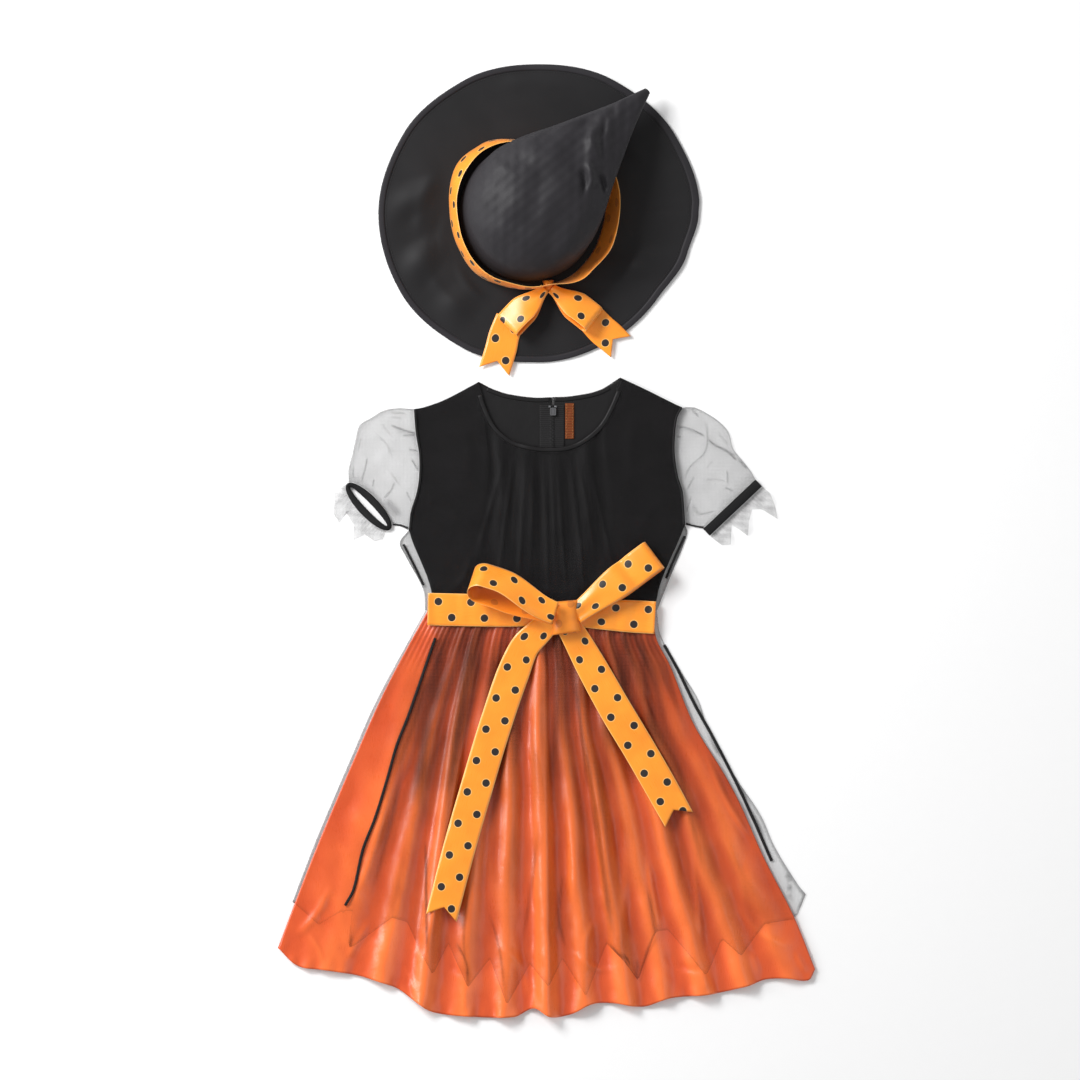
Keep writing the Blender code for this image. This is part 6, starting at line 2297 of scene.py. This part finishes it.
@dataclass
class Studio:
    """The plain pale floor, soft light and the camera above."""

    frame_width: float = 1.269
    centre: Row = (-0.0082, 0.0012)
    distance: float = 12.0
    sensor: float = 36.0

    def make(self, room: Workroom) -> None:
        """Set the stage."""
        self._floor(room)
        self._lights()
        self._camera()

    def _floor(self, room: Workroom) -> None:
        """Lay a wide sheet of pale paper."""
        select_none()
        bpy.ops.mesh.primitive_plane_add(size=14.0, location=(0.0, 0.0, -0.0004))
        floor = bpy.context.object
        floor.name = "paper_floor"
        bpy.ops.object.transform_apply(location=True, rotation=True, scale=True)
        floor.data.materials.append(room.finishes.paper)

    def _lights(self) -> None:
        """Hang a broad key from the upper left, a fill opposite it and an even sky."""
        lamps = (
            ("key", (-1.9, 1.5, 1.9), 1.1, 92.0),
            ("fill", (2.2, -0.8, 2.8), 2.2, 12.0),
            ("low_rake", (-2.8, 0.2, 1.2), 1.0, 34.0),
        )
        for name, place, size, power in lamps:
            lamp = bpy.data.lights.new(name, "AREA")
            lamp.size = size
            lamp.energy = power
            thing = bpy.data.objects.new(name, lamp)
            thing.location = place
            aim = Vector((0.0, 0.0, 0.0)) - Vector(place)
            thing.rotation_euler = aim.to_track_quat("-Z", "Y").to_euler()
            bpy.context.scene.collection.objects.link(thing)
        world = bpy.data.worlds.new("even_sky")
        world.use_nodes = True
        world.node_tree.nodes["Background"].inputs["Color"].default_value = (1.0, 1.0, 1.0, 1.0)
        world.node_tree.nodes["Background"].inputs["Strength"].default_value = 0.44
        bpy.context.scene.world = world
        bpy.context.scene.view_settings.view_transform = "Standard"

    def _camera(self) -> None:
        """Look straight down with a long lens at the photograph's framing."""
        lens = bpy.data.cameras.new("camera_above")
        lens.sensor_width = self.sensor
        lens.lens = self.sensor * self.distance / self.frame_width
        lens.clip_start = 0.1
        lens.clip_end = 100.0
        camera = bpy.data.objects.new("camera_above", lens)
        camera.location = (*self.centre, self.distance)
        bpy.context.scene.collection.objects.link(camera)
        bpy.context.scene.camera = camera


def left_sleeve(bodice: Bodice) -> Sleeve:
    """The left sleeve with its own creases."""
    creases = (
        Crease(((-184.5, 136), (-164.2, 129), (-153.4, 126)), 1.3, 1.0, 0.62, 0.15),
        Crease(((-170, 124), (-153.4, 125)), 1.3, 0.7, 0.45, 0.2),
        Crease(((-163, 107.5), (-152, 106)), 1.2, 0.7, 0.5, 0.2),
        Crease(((-159.5, 97), (-151, 82)), 1.2, 0.7, 0.55, 0.2),
        Crease(((-200.6, 125.7), (-188.5, 113.6), (-180.4, 96)), 1.5, 0.9, 0.22, 0.3),
        Crease(((-210.8, 100), (-212.8, 89), (-218.2, 68)), 1.3, 0.9, 0.42, 0.2),
        Crease(((-202.7, 74.5), (-205.4, 61)), 1.3, 0.8, 0.4, 0.3),
        Crease(((-178.4, 70.5), (-183.1, 59.7), (-192.6, 49)), 1.4, 0.9, 0.42, 0.2),
        Crease(((-227.6, 90), (-227.6, 72)), 1.3, 0.7, 0.3, 0.3),
        Crease(((-192, 50), (-180, 38), (-171, 28)), 6.0, 0.8, 0.28, 0.3),
        Crease(((-186, 151), (-164, 150)), 1.3, 0.6, 0.3, 0.3),
        Crease(((-184, 146), (-168, 143)), 1.2, 0.6, 0.2, 0.3),
        Crease(((-166, 60), (-159, 45)), 1.2, 0.7, 0.3, 0.3),
        Crease(((-218, 124), (-222, 104)), 1.2, 0.6, 0.18, 0.3),
        Crease(((-186, 84), (-172, 64)), 1.6, 0.7, 0.16, 0.3),
        Crease(((-196, 140), (-182, 122)), 1.4, 0.7, 0.14, 0.3),
    )
    return OpenCuffSleeve(
        side=Side.LEFT,
        armhole=bodice.armhole_left,
        top=((-176, 156), (-192, 153), (-206, 145), (-220, 136), (-225, 118), (-229, 100), (-233, 85)),
        creases=creases,
        frill_outer=(
            (-249, 56), (-251, 33), (-244, 21), (-236, 34), (-227, 19), (-227, 1), (-214, 8), (-203, 0),
            (-193, 2),
        ),
        underarm=((-181, 19.5, 2.6), (-172, 18.5, 2.6), (-163.5, 15.5, 2.6)),
    )


def right_sleeve(bodice: Bodice) -> Sleeve:
    """The right sleeve with its own creases."""
    creases = (
        Crease(((151.5, 134.7), (164.9, 132.5), (186.1, 123.3)), 1.3, 0.9, 0.5, 0.12),
        Crease(((188.9, 121), (194.7, 114), (211.6, 105.5), (222.9, 94)), 1.4, 1.0, 0.55, 0.12),
        Crease(((169.2, 156), (179, 145)), 1.3, 0.7, 0.4, 0.25),
        Crease(
            ((185.5, 144), (188.3, 127), (187.5, 110), (183.3, 101), (167.8, 87), (160.7, 70)),
            1.3, 0.8, 0.32, 0.15,
        ),
        Crease(((173.4, 77), (163.5, 58.5)), 1.3, 0.7, 0.32, 0.25),
        Crease(((211.6, 84), (212.3, 66)), 1.2, 0.7, 0.34, 0.25),
        Crease(((208, 63.5), (220, 58)), 1.3, 0.7, 0.42, 0.25),
        Crease(((183, 71), (194, 72.5), (206, 71.3), (212, 68)), 1.2, 0.6, 0.2, 0.25),
        Crease(((169.9, 54), (163.5, 33)), 1.4, 0.7, 0.32, 0.25),
        Crease(((174.8, 33), (181.9, 31.5), (199, 36)), 1.3, 0.6, 0.28, 0.25),
        Crease(((152, 123), (158, 122)), 1.2, 0.6, 0.4, 0.3),
        Crease(((224, 97), (236, 84)), 1.8, 0.7, 0.4, 0.25),
        Crease(((205, 108), (222, 100)), 1.5, 0.7, 0.3, 0.25),
        Crease(((170, 44), (180, 28)), 3.0, 0.5, 0.16, 0.3),
        Crease(((196, 96), (186, 84)), 1.6, 0.6, 0.14, 0.3),
        Crease(((200, 128), (214, 112)), 1.5, 0.6, 0.16, 0.3),
    )
    return FlatCuffSleeve(
        side=Side.RIGHT,
        armhole=bodice.armhole_right,
        top=((172, 157), (184, 152), (201, 141), (213, 128), (219, 108), (230, 94), (240, 81)),
        creases=creases,
        frill_outer=(
            (262, 56), (268, 41), (271, 26), (252, 38), (241, 37), (237, 22), (236, 6), (226, 14), (217, 19),
            (216, -4), (206, -5), (194, 4),
        ),
        underarm=((163.5, 20.5, 2.8), (174, 17.5, 2.8), (184, 16.0, 2.8)),
    )


def main() -> None:
    """Dress the costume and set the stage."""
    logging.basicConfig(level=logging.INFO, format="%(message)s")
    room = Workroom()
    bodice = Bodice()
    surfaces = bodice.make(room)
    Zip().make(room)
    surfaces.update(Skirt().make(room))
    strips = Ground(surfaces["bodice_overlay_back_left"], surfaces["bodice_overlay_back_right"])
    Overlock("overlock_bodice_left", ((-168.5, -4, 4), (-155, -31, 4), (-145, -52, 4))).make(
        room, strips, ["bodice_overlay_back_left"]
    )
    Overlock("overlock_bodice_right", ((161.8, 6, 4), (150, -20, 4), (140, -44, 4))).make(
        room, strips, ["bodice_overlay_back_right"]
    )
    left_sleeve(bodice).make(room, surfaces)
    right_sleeve(bodice).make(room, surfaces)
    Sash().make(room, surfaces)
    Hat().make(room)
    Studio().make(room)
    log.info("made %d pieces", room.made)


if __name__ == "__main__":
    main()
